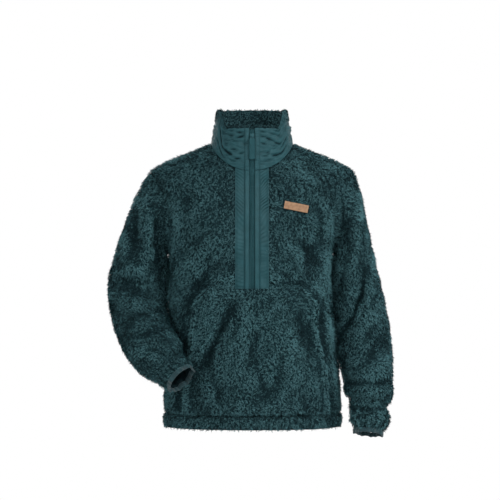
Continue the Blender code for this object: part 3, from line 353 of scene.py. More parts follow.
GLOSS = (0.75, 0.95, 1.0, 1.0)  # tint of the nylon's gloss


# ---- arithmetic
def read(table, column, at):
    """One column read anywhere along the table's first column.

    A cubic between rows whose slope at each row is the harmonic mean of the
    slopes either side, or flat at a turning point, so nothing overshoots."""
    along = next(iter(table.values()))
    value = table[column]
    step = np.diff(along)
    slope = np.diff(value) / step
    before = 2.0 * step[1:] + step[:-1]
    after = step[1:] + 2.0 * step[:-1]
    product = slope[:-1] * slope[1:]
    same_way = product > 0
    weight = np.where(same_way, before * slope[1:] + after * slope[:-1], 1.0)
    middle = np.where(same_way, (before + after) * product / weight, 0.0)
    tangent = np.concatenate([slope[:1], middle, slope[-1:]])
    cell = np.clip(np.searchsorted(along, at, side="right") - 1, 0, len(step) - 1)
    t = np.clip((at - along[cell]) / step[cell], 0.0, 1.0)
    return (
        value[cell] * (1 + 2 * t) * (1 - t) ** 2
        + value[cell + 1] * t * t * (3 - 2 * t)
        + step[cell] * tangent[cell] * t * (1 - t) ** 2
        - step[cell] * tangent[cell + 1] * t * t * (1 - t)
    )


def unit(vectors):
    """Vectors of length one."""
    return vectors / np.maximum(np.linalg.norm(vectors, axis=-1, keepdims=True), 1e-12)


def ease(value):
    """A soft step from 0 to 1: t squared times (3 - 2t)."""
    t = np.clip(value, 0.0, 1.0)
    return t * t * (3.0 - 2.0 * t)


def bell(away, reach):
    """A smooth hump: 1 at no distance, and e to the power of minus the square of
    the distance over its reach elsewhere."""
    return np.exp(-((away / reach) ** 2))


def signed_power(value, power):
    """A power of a value's size, with the value's sign."""
    return np.sign(value) * np.abs(value) ** power


def finer(values, times=REFINE):
    """Rising values with times - 1 more, evenly spaced, between each two."""
    values = np.asarray(values, dtype=float)
    at = np.linspace(0, len(values) - 1, (len(values) - 1) * times + 1)
    return np.interp(at, np.arange(len(values)), values)


def ripple(points, size, seed):
    """Smooth uneven field from about -1 to 1: a sum of plane waves, each in a
    seeded direction and with a length near size."""
    rng = np.random.default_rng(seed)
    heading = unit(rng.normal(size=(WAVES, 3)))
    length = size * rng.uniform(0.6, 1.7, WAVES)
    phase = rng.uniform(0, 2 * math.pi, WAVES)
    waves = np.sin(points @ (2 * math.pi * heading / length[:, None]).T + phase)
    return waves.sum(axis=-1) / math.sqrt(WAVES)


def crest(height):
    """How far each point of a grid of heights stands over the points around it:
    its height less the mean of the four that lie CREST_REACH cells away."""
    reach = CREST_REACH
    wide = np.pad(height, reach, mode="edge")
    rows = wide[2 * reach:, reach:-reach] + wide[:-2 * reach, reach:-reach]
    columns = wide[reach:-reach, 2 * reach:] + wide[reach:-reach, :-2 * reach]
    return height - (rows + columns) / 4.0


def relief(points, normals, folds):
    """Height of all the folds at each point: a bell across each straight run,
    fading towards its ends and on cloth that turns away."""
    height = np.zeros(points.shape[:-1])
    x, z = points[..., 0], points[..., 2]
    for x0, z0, x1, z1, width, rise, side in zip(*folds.values()):
        run_x, run_z = x1 - x0, z1 - z0
        share = ((x - x0) * run_x + (z - z0) * run_z) / (run_x**2 + run_z**2)
        near = np.clip(share, 0.0, 1.0)
        away = np.hypot(x - x0 - near * run_x, z - z0 - near * run_z)
        taper = FOLD_END + (1.0 - FOLD_END) * np.sin(math.pi * near)
        facing = ease(side * normals[..., 1] / FOLD_TURN)
        height += rise * taper * facing * bell(away, width)
    return height


# ---- body
def body_ring(turn, level):
    """Plain body: superellipse rings whose front dips and whose back rises.
    turn is 0 at the middle front and a quarter turn at the wearer's left."""
    side, ahead = np.sin(turn), np.cos(turn)
    bend = 2.0 / read(BODY, "power", level)
    in_front = ahead > 0
    depth = np.where(in_front, -read(BODY, "front", level), read(BODY, "back", level))
    fall = np.where(in_front, -read(BODY, "dip", level), read(BODY, "rise", level))
    x = read(BODY, "shift", level) + read(BODY, "half", level) * signed_power(side, bend)
    y = depth * np.abs(ahead) ** bend
    z = level + fall * np.abs(ahead) ** DIP_POWER
    return np.stack(np.broadcast_arrays(x, y, z), axis=-1)


def body_directions(turn, level):
    """Outward normal and upward direction of the plain body, by small steps."""
    across = body_ring(turn + STEP, level) - body_ring(turn - STEP, level)
    upward = body_ring(turn, level + STEP) - body_ring(turn, level - STEP)
    return unit(np.cross(across, upward)), unit(upward)


def casing(level):
    """The hem casing swells between its fold and its nipped stitch line."""
    middle = (HEM_LEVEL + CASING_LEVEL) / 2
    nip = CASING_NIP * bell(level - CASING_LEVEL, CASING_NIP_REACH)
    return CASING_SWELL * bell(level - middle, CASING_SWELL_REACH) - nip


def body_height(turn, level):
    """Height of the body's folds and slack over its plain rings."""
    points = body_ring(turn, level)
    slack = LUMP_HEIGHT * ripple(points, LUMP_SIZE, 3) * ease((-0.08 - points[..., 2]) / 0.08)
    side = SIDE_TOUCH * np.abs(np.sin(turn)) ** 12 * ease((-0.24 - level) / 0.06)
    return relief(points, body_directions(turn, level)[0], BODY_FOLDS) + slack + side


def body_skin(turn, level, depth=0.0):
    """Body with its folds, slack and hem casing, depth below the tips of the pile."""
    height = body_height(turn, level) + casing(level) - depth
    return body_ring(turn, level) + body_directions(turn, level)[0] * height[..., None]


def turn_at(x, level):
    """Angle around the front at which the ring of this level reaches x."""
    reach = (x - read(BODY, "shift", level)) / read(BODY, "half", level)
    share = np.clip(np.abs(reach), 0.0, 1.0) ** (read(BODY, "power", level) / 2.0)
    return np.sign(reach) * np.arcsin(share)


def seam_turn(level):
    """Angle of a panel's side edge: a quarter turn, or less along the armhole."""
    reach = 1.0 - read(BODY, "inset", level) / read(BODY, "half", level)
    return np.arcsin(np.clip(reach, 0.0, 1.0) ** (read(BODY, "power", level) / 2.0))


def panel_levels():
    """Heights of the rows of points that front and back share, hem to neck."""
    share = np.linspace(0.0, 1.0, ARMHOLE_CELLS + 1)
    share = 0.5 * share + 0.25 * (1.0 - np.cos(math.pi * share))
    return np.concatenate((
        (HEM_LEVEL, HEM_LEVEL + HEM_ROUND, (HEM_LEVEL + CASING_LEVEL) / 2, CASING_LEVEL - HEM_ROUND),
        (CASING_LEVEL,),
        np.linspace(CASING_LEVEL + HEM_ROUND, NOTCH_LEVEL, LOWER_CELLS + 1),
        np.linspace(NOTCH_LEVEL, ARMPIT_LEVEL, MIDDLE_CELLS + 1)[1:],
        (ARMPIT_LEVEL + (SHOULDER_LEVEL - ARMPIT_LEVEL) * share)[1:],
        np.linspace(SHOULDER_LEVEL, 0.0, SHOULDER_CELLS + 1)[1:],
    ))


LEVELS = finer(panel_levels())
LEVEL_GRID = LEVELS[:, None]
NOTCH_ROW = int(np.argmin(np.abs(LEVELS - NOTCH_LEVEL)))
ARMPIT_ROW = NOTCH_ROW + MIDDLE_CELLS * REFINE
SHOULDER_ROW = ARMPIT_ROW + ARMHOLE_CELLS * REFINE
CASING_ROW = int(np.argmin(np.abs(LEVELS - CASING_LEVEL))) + REFINE
SLOT_FIRST = SIDE_CELLS + POUCH_CELLS
SLOT_LAST = SLOT_FIRST + SLOT_CELLS


def front_turns(level):
    """Angles of the front's points, right side seam to left, at each level:
    even steps between the side edges, the pouch edges and the slot edges."""
    edge = seam_turn(level)
    marks = (
        -edge,
        turn_at(read(POUCH, "right", level), level),
        turn_at(-SLOT_HALF, level),
        turn_at(SLOT_HALF, level),
        turn_at(read(POUCH, "left", level), level),
        edge,
    )
    counts = (SIDE_CELLS, POUCH_CELLS, SLOT_CELLS, POUCH_CELLS, SIDE_CELLS)
    runs = [
        np.linspace(low, high, count + 1, axis=1)[:, 1:]
        for low, high, count in zip(marks, marks[1:], counts)
    ]
    return np.concatenate([marks[0][:, None], *runs], axis=1)


FRONT_TURNS = front_turns(LEVELS)
BACK_TURNS = np.linspace(math.pi - seam_turn(LEVELS), math.pi + seam_turn(LEVELS), BACK_CELLS + 1).T


def pouch_furrow():
    """Trough of the front's grid just outside the pouch's two open edges."""
    column = np.arange(FRONT_TURNS.shape[1]) / REFINE
    from_side = np.minimum(column, column[-1] - column)
    reach = ease((NOTCH_LEVEL - LEVEL_GRID) / 0.03) * ease((LEVEL_GRID - CASING_LEVEL) / 0.02)
    return POCKET_FURROW * bell(from_side - SIDE_CELLS / REFINE + 0.5, 0.53) * reach


def top_furrow():
    """Trough of the front's grid just above the pouch's upper edge."""
    above = bell(LEVEL_GRID - NOTCH_LEVEL - 0.007, 0.006)
    column = np.arange(FRONT_TURNS.shape[1])
    inside = np.minimum(column, column[-1] - column) - SIDE_CELLS
    return TOP_FURROW * above * ease((inside + REFINE) / (2.0 * REFINE))


def casing_trim(levels):
    """Share of the pile's length that the casing's stitch line and the hem's fold leave. Where it is short
    the pile is also painted darker, as shade in the seam.
    """
    line = CASING_TRIM[0] * bell(levels - CASING_LEVEL, CASING_TRIM[1])
    return 1.0 - line - HEM_TRIM[0] * bell(levels - HEM_LEVEL, HEM_TRIM[1])


def front_skin(depth):
    """Grid of the front's points, a hair forward of the side and shoulder seams."""
    trough = pouch_furrow() + top_furrow()
    return body_skin(FRONT_TURNS, LEVEL_GRID, depth + trough) - [0.0, GAP / 2, 0.0]


def back_skin(depth):
    """Grid of the back's points, from the left side seam round to the right."""
    return body_skin(BACK_TURNS, LEVEL_GRID, depth) + [0.0, GAP / 2, 0.0]


# ---- sleeves
def arm_middle(arm, station):
    """Middle of the sleeve's ring at a station."""
    return np.stack([read(arm, axis, station) for axis in "xyz"], axis=-1)


def arm_axis(arm, station):
    """Direction of the sleeve's middle line, towards the cuff."""
    return unit(arm_middle(arm, station + 0.02) - arm_middle(arm, station - 0.02))


def arm_ring(arm, side, around, station):
    """Sleeve below the cap: ellipses square to a curved middle line. around is
    the angle from the side next to the body (0) by the front."""
    axis = arm_axis(arm, station)
    across = unit(ACROSS - axis * axis[..., :1])
    ahead = np.cross(axis, across)
    wide = (read(arm, "wide", station) * np.cos(around))[..., None]
    deep = (read(arm, "deep", station) * np.sin(around))[..., None]
    return arm_middle(arm, station) - side * wide * across + deep * ahead


def armhole(side, depth):
    """Points of the body's armhole at a depth, from the armpit up the front edge
    and down the back edge."""
    rows = slice(ARMPIT_ROW, SHOULDER_ROW + 1)
    front_column, back_column = (-1, 0) if side > 0 else (0, -1)
    front = front_skin(depth)[rows, front_column]
    back = back_skin(depth)[rows, back_column]
    loop = np.concatenate([front, back[-2:0:-1]])
    loop[0] = (front[0] + back[0]) / 2
    loop[ARMHOLE_CELLS * REFINE] = (front[-1] + back[-1]) / 2
    return loop


def sleeve_form(arm, side, folds):
    """Sleeve from armhole to cuff: its plain grid, its normals, the height of its
    folds, and the outer and inner points of the armhole.

    The cap is a cubic curve for each line of points, from the armhole to the
    first ring of the arm, which it meets without a break in direction."""
    outer, inner = armhole(side, 0.0), armhole(side, FLEECE)
    along = np.roll(outer, -1, axis=0) - np.roll(outer, 1, axis=0)
    way_out = unit(np.cross(inner - outer, along)) * side
    start = outer + way_out * GAP
    around = np.linspace(0.0, 2 * math.pi, len(start), endpoint=False)
    degrees = np.degrees(np.minimum(around, 2 * math.pi - around))
    climb = read(CAP, "climb", degrees)
    forward = -CAP_SPREAD * np.sin(around)
    heading = unit(np.stack([side * np.ones_like(climb), forward, climb], axis=-1))
    first = arm_ring(arm, side, around, np.zeros_like(around))
    onward = unit(arm_ring(arm, side, around, np.full_like(around, 0.05)) - first)
    one = start + heading * read(CAP, "start", degrees)[:, None]
    two = first - onward * read(CAP, "end", degrees)[:, None]
    t = finer(CAP_STEPS)[:, None, None]
    cap = (1 - t) ** 3 * start + 3 * t * (1 - t) ** 2 * one + 3 * t * t * (1 - t) * two + t**3 * first
    stations = finer(ARM_STEPS)[1:]
    rings = arm_ring(arm, side, np.broadcast_to(around, (len(stations), len(around))), stations[:, None])
    plain = np.concatenate([cap, rings])
    normals = grid_normals(plain, ring=True, reach=REFINE // 2) * side
    away = unit(rings - arm_middle(arm, stations)[:, None])
    turned = np.sum(normals[len(cap):] * away, axis=-1, keepdims=True) < 0.5
    normals[len(cap):] = np.where(turned, away, normals[len(cap):])
    stations = np.append(np.zeros(len(cap)), stations)[:, None]
    height = relief(plain, normals, folds) + gathers(around[None, :], stations)
    slack = ease(np.arange(len(plain)) / (4.0 * REFINE)) * ease((CUFF_STATION - stations[:, 0]) / 2.0)
    height += LUMP_HEIGHT * ripple(plain, LUMP_SIZE, 4) * slack[:, None]
    inward = (slack * ease((8.0 - stations[:, 0]) / 3.0))[:, None]
    height += TOUCH * np.clip(np.cos(around), 0.0, 1.0) ** 3 * inward
    height[0] = 0.0
    return plain, normals, height, start, inner + way_out * GAP


def sleeve_skin(arm, form, depth):
    """Grid of a sleeve's points, depth below the tips of its pile."""
    plain, normals, height, outer, inner = form
    skin = plain + normals * (height - depth)[..., None]
    skin[0] = outer + (inner - outer) * depth / FLEECE
    tip = plain[-1] + normals[-1] * height[-1][:, None]
    skin[-1] = tip - unit(tip - arm_middle(arm, CUFF_STATION)) * depth
    return skin


def gathers(around, stations):
    """Soft waves, three sets of unlike count, where the sleeve is drawn in."""
    near = ease((stations - GATHER_START) / GATHER_GROWTH)
    waves = sum(
        height * np.cos(count * around + twist * stations)
        for count, height, twist in zip(*GATHERS.values())
    )
    return near * waves


# ---- collar
def neck_edge(turn, depth):
    """Points on the cut edge of the body at the neck, a seam's gap above it."""
    level = np.zeros_like(turn)
    return body_skin(turn, level, depth) + body_directions(turn, level)[1] * NECK_GAP


def collar_fall(ahead, rise):
    """Share of the drop from the sides to the middle, for the cosine of a turn. It
    is even at the seam and becomes a step at the front corners of the rim."""
    even = np.abs(ahead) ** DIP_POWER
    low, high = RIM_CORNER
    step = ease((ahead - low) / (high - low))
    return np.where(ahead > 0, even + (step - even) * np.clip(rise, 0.0, 1.0), even)


def collar_ring(turn, rise):
    """Nylon collar: superellipse rings that lean in a little towards the top."""
    side, ahead = np.sin(turn), np.cos(turn)
    bend = 2.0 / COLLAR_POWER
    half, level = read(COLLAR, "half", rise), read(COLLAR, "side", rise)
    depth = np.where(ahead > 0, -read(COLLAR, "front", rise), read(COLLAR, "back", rise))
    middle = np.where(ahead > 0, read(COLLAR, "fore", rise), read(COLLAR, "aft", rise))
    x = half * signed_power(side, bend)
    y = depth * np.abs(ahead) ** bend
    z = level + (middle - level) * collar_fall(ahead, rise)
    drawn = ease((rise - RIM_GATHER_START) / (1.0 - RIM_GATHER_START)) * ease((np.abs(x) - 0.010) / 0.015)
    z += RIM_GATHER * drawn * sum(np.sin(count * turn + count) for count in RIM_GATHERS)
    return np.stack(np.broadcast_arrays(x, y, z), axis=-1)


def collar_skin(turn, rise, depth):
    """Collar's points, depth below its nylon face. Its foot is the neck edge."""
    across = collar_ring(turn + STEP, rise) - collar_ring(turn - STEP, rise)
    upward = collar_ring(turn, rise + STEP) - collar_ring(turn, rise - STEP)
    normals = unit(np.cross(across, upward))
    above = collar_ring(turn, rise) - normals * np.asarray(depth)[..., None]
    foot = neck_edge(turn, PLACKET_SUNK + depth)
    return np.where((rise > 0)[..., None], above, foot)


def collar_turn_at(x, rise):
    """Angle around the collar's front at a distance x from the zip."""
    above = np.arcsin((x / read(COLLAR, "half", rise)) ** (COLLAR_POWER / 2))
    return np.where(rise > 0, above, turn_at(x, 0.0))


def placket_marks(times=4):
    """Distances from the zip of the placket's lines of points."""
    return finer((*WELT, 0.5 * (WELT[-1] + SLOT_HALF), SLOT_HALF - GAP), times)


def neck_turns(rises, times=4):
    """Angles around the neck of the collar's lines of points, left end to right.
    Near the zip they keep their distance from it on every row."""
    rises = np.asarray(rises)[:, None]
    placket = collar_turn_at(placket_marks(times), rises)
    start = placket[:, -1:]
    rest = start + (math.pi - start) * np.linspace(0.0, 1.0, 24 * times)[None, 1:]
    left = np.concatenate([placket, rest], axis=1)
    return np.concatenate([left, 2 * math.pi - left[:, -2::-1]], axis=1)


def welt(x):
    """Height of the raised strip beside the zip, at a distance from it."""
    rise = ease((np.abs(x) - WELT[0]) / (WELT[1] - WELT[0]))
    fall = ease((WELT[3] - np.abs(x)) / (WELT[3] - WELT[2]))
    return WELT_HEIGHT * np.minimum(rise, fall) - GROOVE * bell(np.abs(x) - WELT[3] - GROOVE_AT, GROOVE_REACH)


def welt_shadow_lines(x):
    """Share from 0 to 1 of the painted shadow lines at both sides of the raised strip."""
    away = np.abs(x)
    return 0.9 * bell(away - WELT[0], 0.0007) + 0.8 * bell(away - WELT[3] - 0.0008, 0.0009)


def collar_creases(turn, rise):
    """Height of the nylon's creases. Across its straight run in turn and rise each
    is a narrow trough with a wider, lower ridge along its upper side."""
    share, place, reach = CREASE_RIDGE
    degrees = np.degrees((turn + math.pi / 2) % (2 * math.pi) - math.pi / 2)
    height = np.zeros(np.broadcast(turn, rise).shape)
    for turn0, rise0, turn1, rise1, width, tall in zip(*COLLAR_CREASES.values()):
        run_t, run_r = (turn1 - turn0) / CREASE_TURN, rise1 - rise0
        x, z = (degrees - turn0) / CREASE_TURN, rise - rise0
        near = np.clip((x * run_t + z * run_r) / (run_t**2 + run_r**2), 0.0, 1.0)
        over, up = x - near * run_t, z - near * run_r
        width = CREASE_BREADTH * width
        away = np.hypot(over, up) / width
        side = np.sign(run_t) * (run_t * up - run_r * over) / math.hypot(run_t, run_r) / width
        form = bell(away, 1.0) - share * bell(away - place, reach) * ease(side)
        height = height + CREASE_DEPTH * tall * np.sin(math.pi * (0.14 + 0.72 * near)) * form
    return height


# ---- meshes
def grid_normals(grid, ring=False, reach=1):
    """Normals of a grid of points: along the rows crossed with along the columns.
    reach is how many rows away the points are that give the first direction."""
    rows = np.arange(len(grid))
    down = grid[np.minimum(rows + reach, rows[-1])] - grid[np.maximum(rows - reach, 0)]
    if ring:
        across = np.roll(grid, -1, axis=1) - np.roll(grid, 1, axis=1)
    else:
        across = np.gradient(grid, axis=1)
    return unit(np.cross(down, across))


def surface(name, points, faces, material, marks=None, uv=None, smooth=True):
    """An object at the origin from arrays of points and of faces of one size."""
    mesh = bpy.data.meshes.new(name)
    mesh.vertices.add(len(points))
    mesh.vertices.foreach_set("co", np.ascontiguousarray(points, dtype=np.float32).ravel())
    mesh.loops.add(faces.size)
    mesh.loops.foreach_set("vertex_index", faces.ravel().astype(np.int32))
    mesh.polygons.add(len(faces))
    mesh.polygons.foreach_set("loop_start", np.arange(0, faces.size, faces.shape[1], dtype=np.int32))
    mesh.update(calc_edges=True)
    for key, values in (marks or {}).items():
        mark = mesh.attributes.new(key, "FLOAT", "POINT")
        mark.data.foreach_set("value", values.astype(np.float32).ravel())
    if uv is not None:
        layer = mesh.uv_layers.new(name="OFBake")
        layer.uv.foreach_set("vector", uv[faces.ravel()].astype(np.float32).ravel())
    mesh.materials.append(material)
    if smooth:
        mesh.shade_smooth()
        mesh.set_sharp_from_angle(angle=SHARP)
    piece = bpy.data.objects.new(name, mesh)
    bpy.context.scene.collection.objects.link(piece)
    return piece


def border_of(quads):
    """Edges of the faces that only one face uses, in that face's direction."""
    edges = np.concatenate([quads[:, [i, (i + 1) % 4]] for i in range(4)])
    ordered = np.sort(edges, axis=1)
    keys = ordered[:, 0] * (ordered.max() + 1) + ordered[:, 1]
    first, counts = np.unique(keys, return_index=True, return_counts=True)[1:]
    return edges[first[counts == 1]]


def wall(name, outer, inner, material, keep=None, ring=False, painted_shade=None):
    """A closed wall of four-sided faces between two grids of points. keep says
    which cells exist, ring joins the last column to the first, and the painted
    shade mark gives each outer point its share of painted shade, from 0 to 1."""
    rows, columns = outer.shape[:2]
    count = rows * columns
    index = np.arange(count).reshape(rows, columns)
    if ring:
        index = np.concatenate([index, index[:, :1]], axis=1)
    cells = np.stack([index[:-1, :-1], index[:-1, 1:], index[1:, 1:], index[1:, :-1]], axis=-1)
    cells = cells.reshape(-1, 4) if keep is None else cells[keep]
    points = np.concatenate([outer.reshape(-1, 3), inner.reshape(-1, 3)])
    start, end = border_of(cells).T
    rim = np.stack([end, start, start + count, end + count], axis=1)
    faces = np.concatenate([cells, cells[:, ::-1] + count, rim])
    used, faces = np.unique(faces, return_inverse=True)
    faces = faces.reshape(-1, 4)
    points = points[used]
    a, b, c, d = (points[faces[:, i]] for i in range(4))
    if np.sum(a * (np.cross(b, c) + np.cross(c, d))) < 0:
        faces = faces[:, ::-1]
    marks = None
    if painted_shade is not None:
        marks = {"painted_shade": np.append(painted_shade.ravel(), np.zeros(count))[used]}
    return surface(name, points, faces, material, marks)


def joined(name, parts, material):
    """One object from several (points, faces) pairs with faces of one size."""
    start = np.cumsum([0] + [len(points) for points, _ in parts[:-1]])
    points = np.concatenate([points for points, _ in parts])
    faces = np.concatenate([faces + first for (_, faces), first in zip(parts, start)])
    return surface(name, points, faces, material)


def tubes(paths, normals, wide, thick, sides=6, closed=False):
    """Tubes of an elliptical section along many paths at once.

    paths is (tubes, stations, 3), normals points out of what they lie on, and wide
    and thick are half sizes. Ends are closed by a flat face folded from the last
    ring. A closed tube meets its own start."""
    if closed:
        tangent = unit(np.roll(paths, -1, axis=1) - np.roll(paths, 1, axis=1))
    else:
        tangent = unit(np.gradient(paths, axis=1))
    out = unit(normals - tangent * np.sum(normals * tangent, axis=-1, keepdims=True))
    side = np.cross(tangent, out)
    angle = np.linspace(0, 2 * math.pi, sides, endpoint=False)[:, None]
    ring = wide * np.cos(angle) * side[:, :, None] + thick * np.sin(angle) * out[:, :, None]
    points = (paths[:, :, None] + ring).reshape(-1, 3)
    index = np.arange(len(points)).reshape(*paths.shape[:2], sides)
    if closed:
        index = np.concatenate([index, index[:, :1]], axis=1)
    around = np.roll(index, -1, axis=2)
    faces = np.stack([index[:, :-1], index[:, 1:], around[:, 1:], around[:, :-1]], axis=-1).reshape(-1, 4)
    if closed:
        return points, faces
    cap = np.array([[i, i + 1, sides - 2 - i, sides - 1 - i] for i in range(sides // 2 - 1)])
    ends = [index[:, 0][:, cap].reshape(-1, 4), index[:, -1][:, cap].reshape(-1, 4)[:, ::-1]]
    return points, np.concatenate([faces, *ends])


def along(path, normals, at):
    """Points and normals at distances at along a path, by straight interpolation."""
    distance = np.append(0.0, np.cumsum(np.linalg.norm(np.diff(path, axis=0), axis=1)))
    points, out = (
        np.stack([np.interp(at, distance, values[:, k]) for k in range(3)], axis=-1)
        for values in (path, normals)
    )
    return points, unit(out)


def length_of(path):
    """Length of a line of points."""
    return float(np.linalg.norm(np.diff(path, axis=0), axis=1).sum())


def stitches(path, normals, pitch, long, thick):
    """A row of stitches, each a short tube whose ends dip into the cloth."""
    count = int(length_of(path) / pitch)
    middle = (np.arange(count) + 0.5) * pitch
    spread = np.array([-0.5, -0.3, 0.3, 0.5]) * long
    points, out = along(path, normals, middle[:, None] + spread)
    dip = np.array([-0.7, 0.5, 0.5, -0.7]) * thick
    return tubes(points + out * dip[:, None], out, thick, thick * 0.8)


# ---- pile
def between(grid, row, column, down, over):
    """Values of a grid inside its cells, by bilinear weights."""
    down, over = down[:, None], over[:, None]
    above = grid[row, column] * (1 - over) + grid[row, column + 1] * over
    below = grid[row + 1, column] * (1 - over) + grid[row + 1, column + 1] * over
    return above * (1 - down) + below * down


def scatter(base, keep, share, rng):
    """Places spread over a grid in proportion to its area: cell and place inside.
    share is the area that each place takes."""
    one = base[1:, 1:] - base[:-1, :-1]
    two = base[1:, :-1] - base[:-1, 1:]
    area = np.linalg.norm(np.cross(one, two), axis=-1) / 2 * keep
    total = np.cumsum(area.ravel())
    count = int(total[-1] / share)
    at = (np.arange(count) + rng.random(count)) / count * total[-1]
    row, column = np.divmod(np.searchsorted(total, at), area.shape[1])
    return row, column, rng.random(count), rng.random(count)


def pile(name, base, normals, flow, height, look, seed, keep=None, bare=None, trim=None, scale=1.0,
         density=1.0):
    """Pile of locks that stand on a grid of points.

    Each lock is a few blades that start in a disc round its root, lean the same
    way and draw together a little at the tip. A blade is two triangles, pointed at
    both ends and bent across its middle. The lean follows the cloth's flow, turned
    by an uneven field, and lengths vary at random. Marks: tip runs from 0 at the
    root to 1 at the tip, and the material paints the roots darker as shade deep in
    the pile. tone is nearly one value for a lock, from patches of two sizes, random
    and partly painted sheen of the turning nap, and from painted highlight and
    shade by the height of folds and crests: lighter on high cloth and crests,
    darker in troughs and where seams cut the pile short. height is read only for
    this painted light. keep says which cells have pile, bare which points have
    none, and trim is the share of the length that seams leave."""
    rng = np.random.default_rng(seed)
    if keep is None:
        keep = np.ones(np.array(base.shape[:2]) - 1)
    row, column, down, over = scatter(base, keep, look.lock_area / density * 1e-6, rng)
    if bare is not None:
        stays = ~bare(between(base, row, column, down, over))
        row, column, down, over = row[stays], column[stays], down[stays], over[stays]
    centre = between(base, row, column, down, over)
    normal = unit(between(normals, row, column, down, over))
    ahead = between(flow, row, column, down, over)
    ahead = unit(ahead - normal * np.sum(ahead * normal, axis=-1, keepdims=True))
    across = np.cross(ahead, normal)
    count = len(centre)
    swing = look.swing * ripple(centre, look.swing_size, seed + 1) + rng.normal(0, look.unrest, count)
    lean = np.cos(swing)[:, None] * ahead + np.sin(swing)[:, None] * across
    # random light and dark patches, partly painted sheen where the nap turns
    patches = ripple(centre * [1.0, 1.0, 0.6], look.patch_size, 7)
    patches = patches + 0.6 * ripple(centre, 0.3 * look.patch_size, 8)
    # painted highlight on high folds and crests, painted shade in troughs and creases
    rises = np.stack([height / FOLD_UNIT, crest(height) / CREST_UNIT], axis=-1)
    folds, crests = np.clip(between(rises, row, column, down, over), *TONE_LIMITS).T
    tone = look.tone + look.patch * patches + look.ridge * folds + look.crest * crests
    tone += rng.normal(0, look.grain, count)
    lift = look.lift + 0.14 * ripple(centre, 0.022, seed + 3) + rng.normal(0, 0.16, count)
    long = scale * look.length * rng.uniform(*LOCK_LENGTHS, count)
    if trim is not None:
        cut = between(trim[..., None], row, column, down, over)[:, 0]
        long = long * cut
        # pile cut short is painted darker, as shade in the seam
        tone = tone - TRIM_SHADE * (1.0 - cut)
    rise, reach = long * np.sin(lift), long * np.cos(lift)
    ahead_of_root = lean * reach[:, None] + normal * rise[:, None]

    shape = (count, look.blades)
    angle, radius = rng.uniform(0, 2 * math.pi, shape), look.disc * scale * np.sqrt(rng.random(shape))
    root = (
        centre[:, None]
        + (radius * np.cos(angle))[..., None] * ahead[:, None]
        + (radius * np.sin(angle))[..., None] * across[:, None]
    )
    loose = rng.normal(0, look.looseness * scale, (*shape, 3))
    drawn = look.draw * (centre[:, None] - root)
    end = root + (ahead_of_root[:, None] + drawn + loose) * rng.uniform(*BLADE_LENGTHS, shape)[..., None]
    bend = root + normal[:, None] * (BEND_RISE * rise * rng.uniform(*BLADE_WIDTHS, count))[:, None, None]
    middle = 0.25 * root + 0.5 * (bend + (end - root) * 0.18) + 0.25 * end
    shade = tone[:, None] + rng.normal(0, BLADE_GRAIN * look.grain, shape)
    face = unit(normal[:, None] + rng.normal(0, 0.35, (*shape, 3)))
    half = 0.5 * look.width * math.sqrt(scale) * rng.uniform(*BLADE_WIDTHS, shape)[..., None]
    half = unit(np.cross(end - root, face)) * half
    points = np.stack([root, middle + half, end, middle - half], axis=2)
    first = 4 * np.arange(count * look.blades)[:, None, None]
    faces = (first + np.array([[0, 1, 3], [1, 2, 3]])).reshape(-1, 3)
    marks = {
        "tip": np.broadcast_to(np.array([0.0, 0.55, 1.0, 0.55]), (*shape, 4)),
        "tone": np.broadcast_to(shade[..., None], (*shape, 4)),
    }
    side = math.ceil(math.sqrt(count))
    corner = np.stack(np.divmod(np.arange(count), side)[::-1], axis=-1)[:, None, None]
    inside = np.array([[0.5, 0.05], [0.85, 0.5], [0.5, 0.95], [0.15, 0.5]])
    uv = np.broadcast_to((corner + inside) / side, (*shape, 4, 2)).reshape(-1, 2)
    piece = surface(name, points.reshape(-1, 3), faces, MATERIALS["pile"], marks, uv, smooth=False)
    piece.data.shade_smooth()  # without the search for sharp edges
    own = unit(np.cross(half, end - root))
    soft = unit(look.softness * normal[:, None] + (1.0 - look.softness) * own + 0.25 * lean[:, None])
    soft = np.broadcast_to(soft[:, :, None], (*shape, 4, 3))
    piece.data.attributes.new("custom_normal", "FLOAT_VECTOR", "POINT").data.foreach_set(
        "vector", soft.astype(np.float32).ravel())
    return piece


# ---- materials
MATERIALS = {}           # finishes by key


def add(tree, kind, links=None, **settings):
    """A shader node with its settings; links maps inputs to sockets or values."""
    made = tree.nodes.new(kind)
    for key, value in settings.items():
        setattr(made, key, value)
    for key, value in (links or {}).items():
        if isinstance(value, bpy.types.NodeSocket):
            tree.links.new(value, made.inputs[key])
        else:
            made.inputs[key].default_value = value
    return made


def tinted(colour, share=1.0):
    """A colour for a shader's socket, made darker or lighter by a share."""
    return (*(share * part for part in colour[:3]), 1.0)


def blend(tree, share, one, two):
    """Socket of a colour that goes from one to two by a share from 0 to 1."""
    mix = add(tree, "ShaderNodeMix", {"Factor": share, 6: one, 7: two}, data_type="RGBA")
    return mix.outputs[2]


def group(name, inputs, outputs):
    """An empty node group with named sockets, and its two end nodes."""
    tree = bpy.data.node_groups.new(name, "ShaderNodeTree")
    for label, kind, value in inputs:
        socket = tree.interface.new_socket(label, in_out="INPUT", socket_type=kind)
        socket.default_value = value
    for label, kind in outputs:
        tree.interface.new_socket(label, in_out="OUTPUT", socket_type=kind)
    return tree, tree.nodes.new("NodeGroupInput"), tree.nodes.new("NodeGroupOutput")


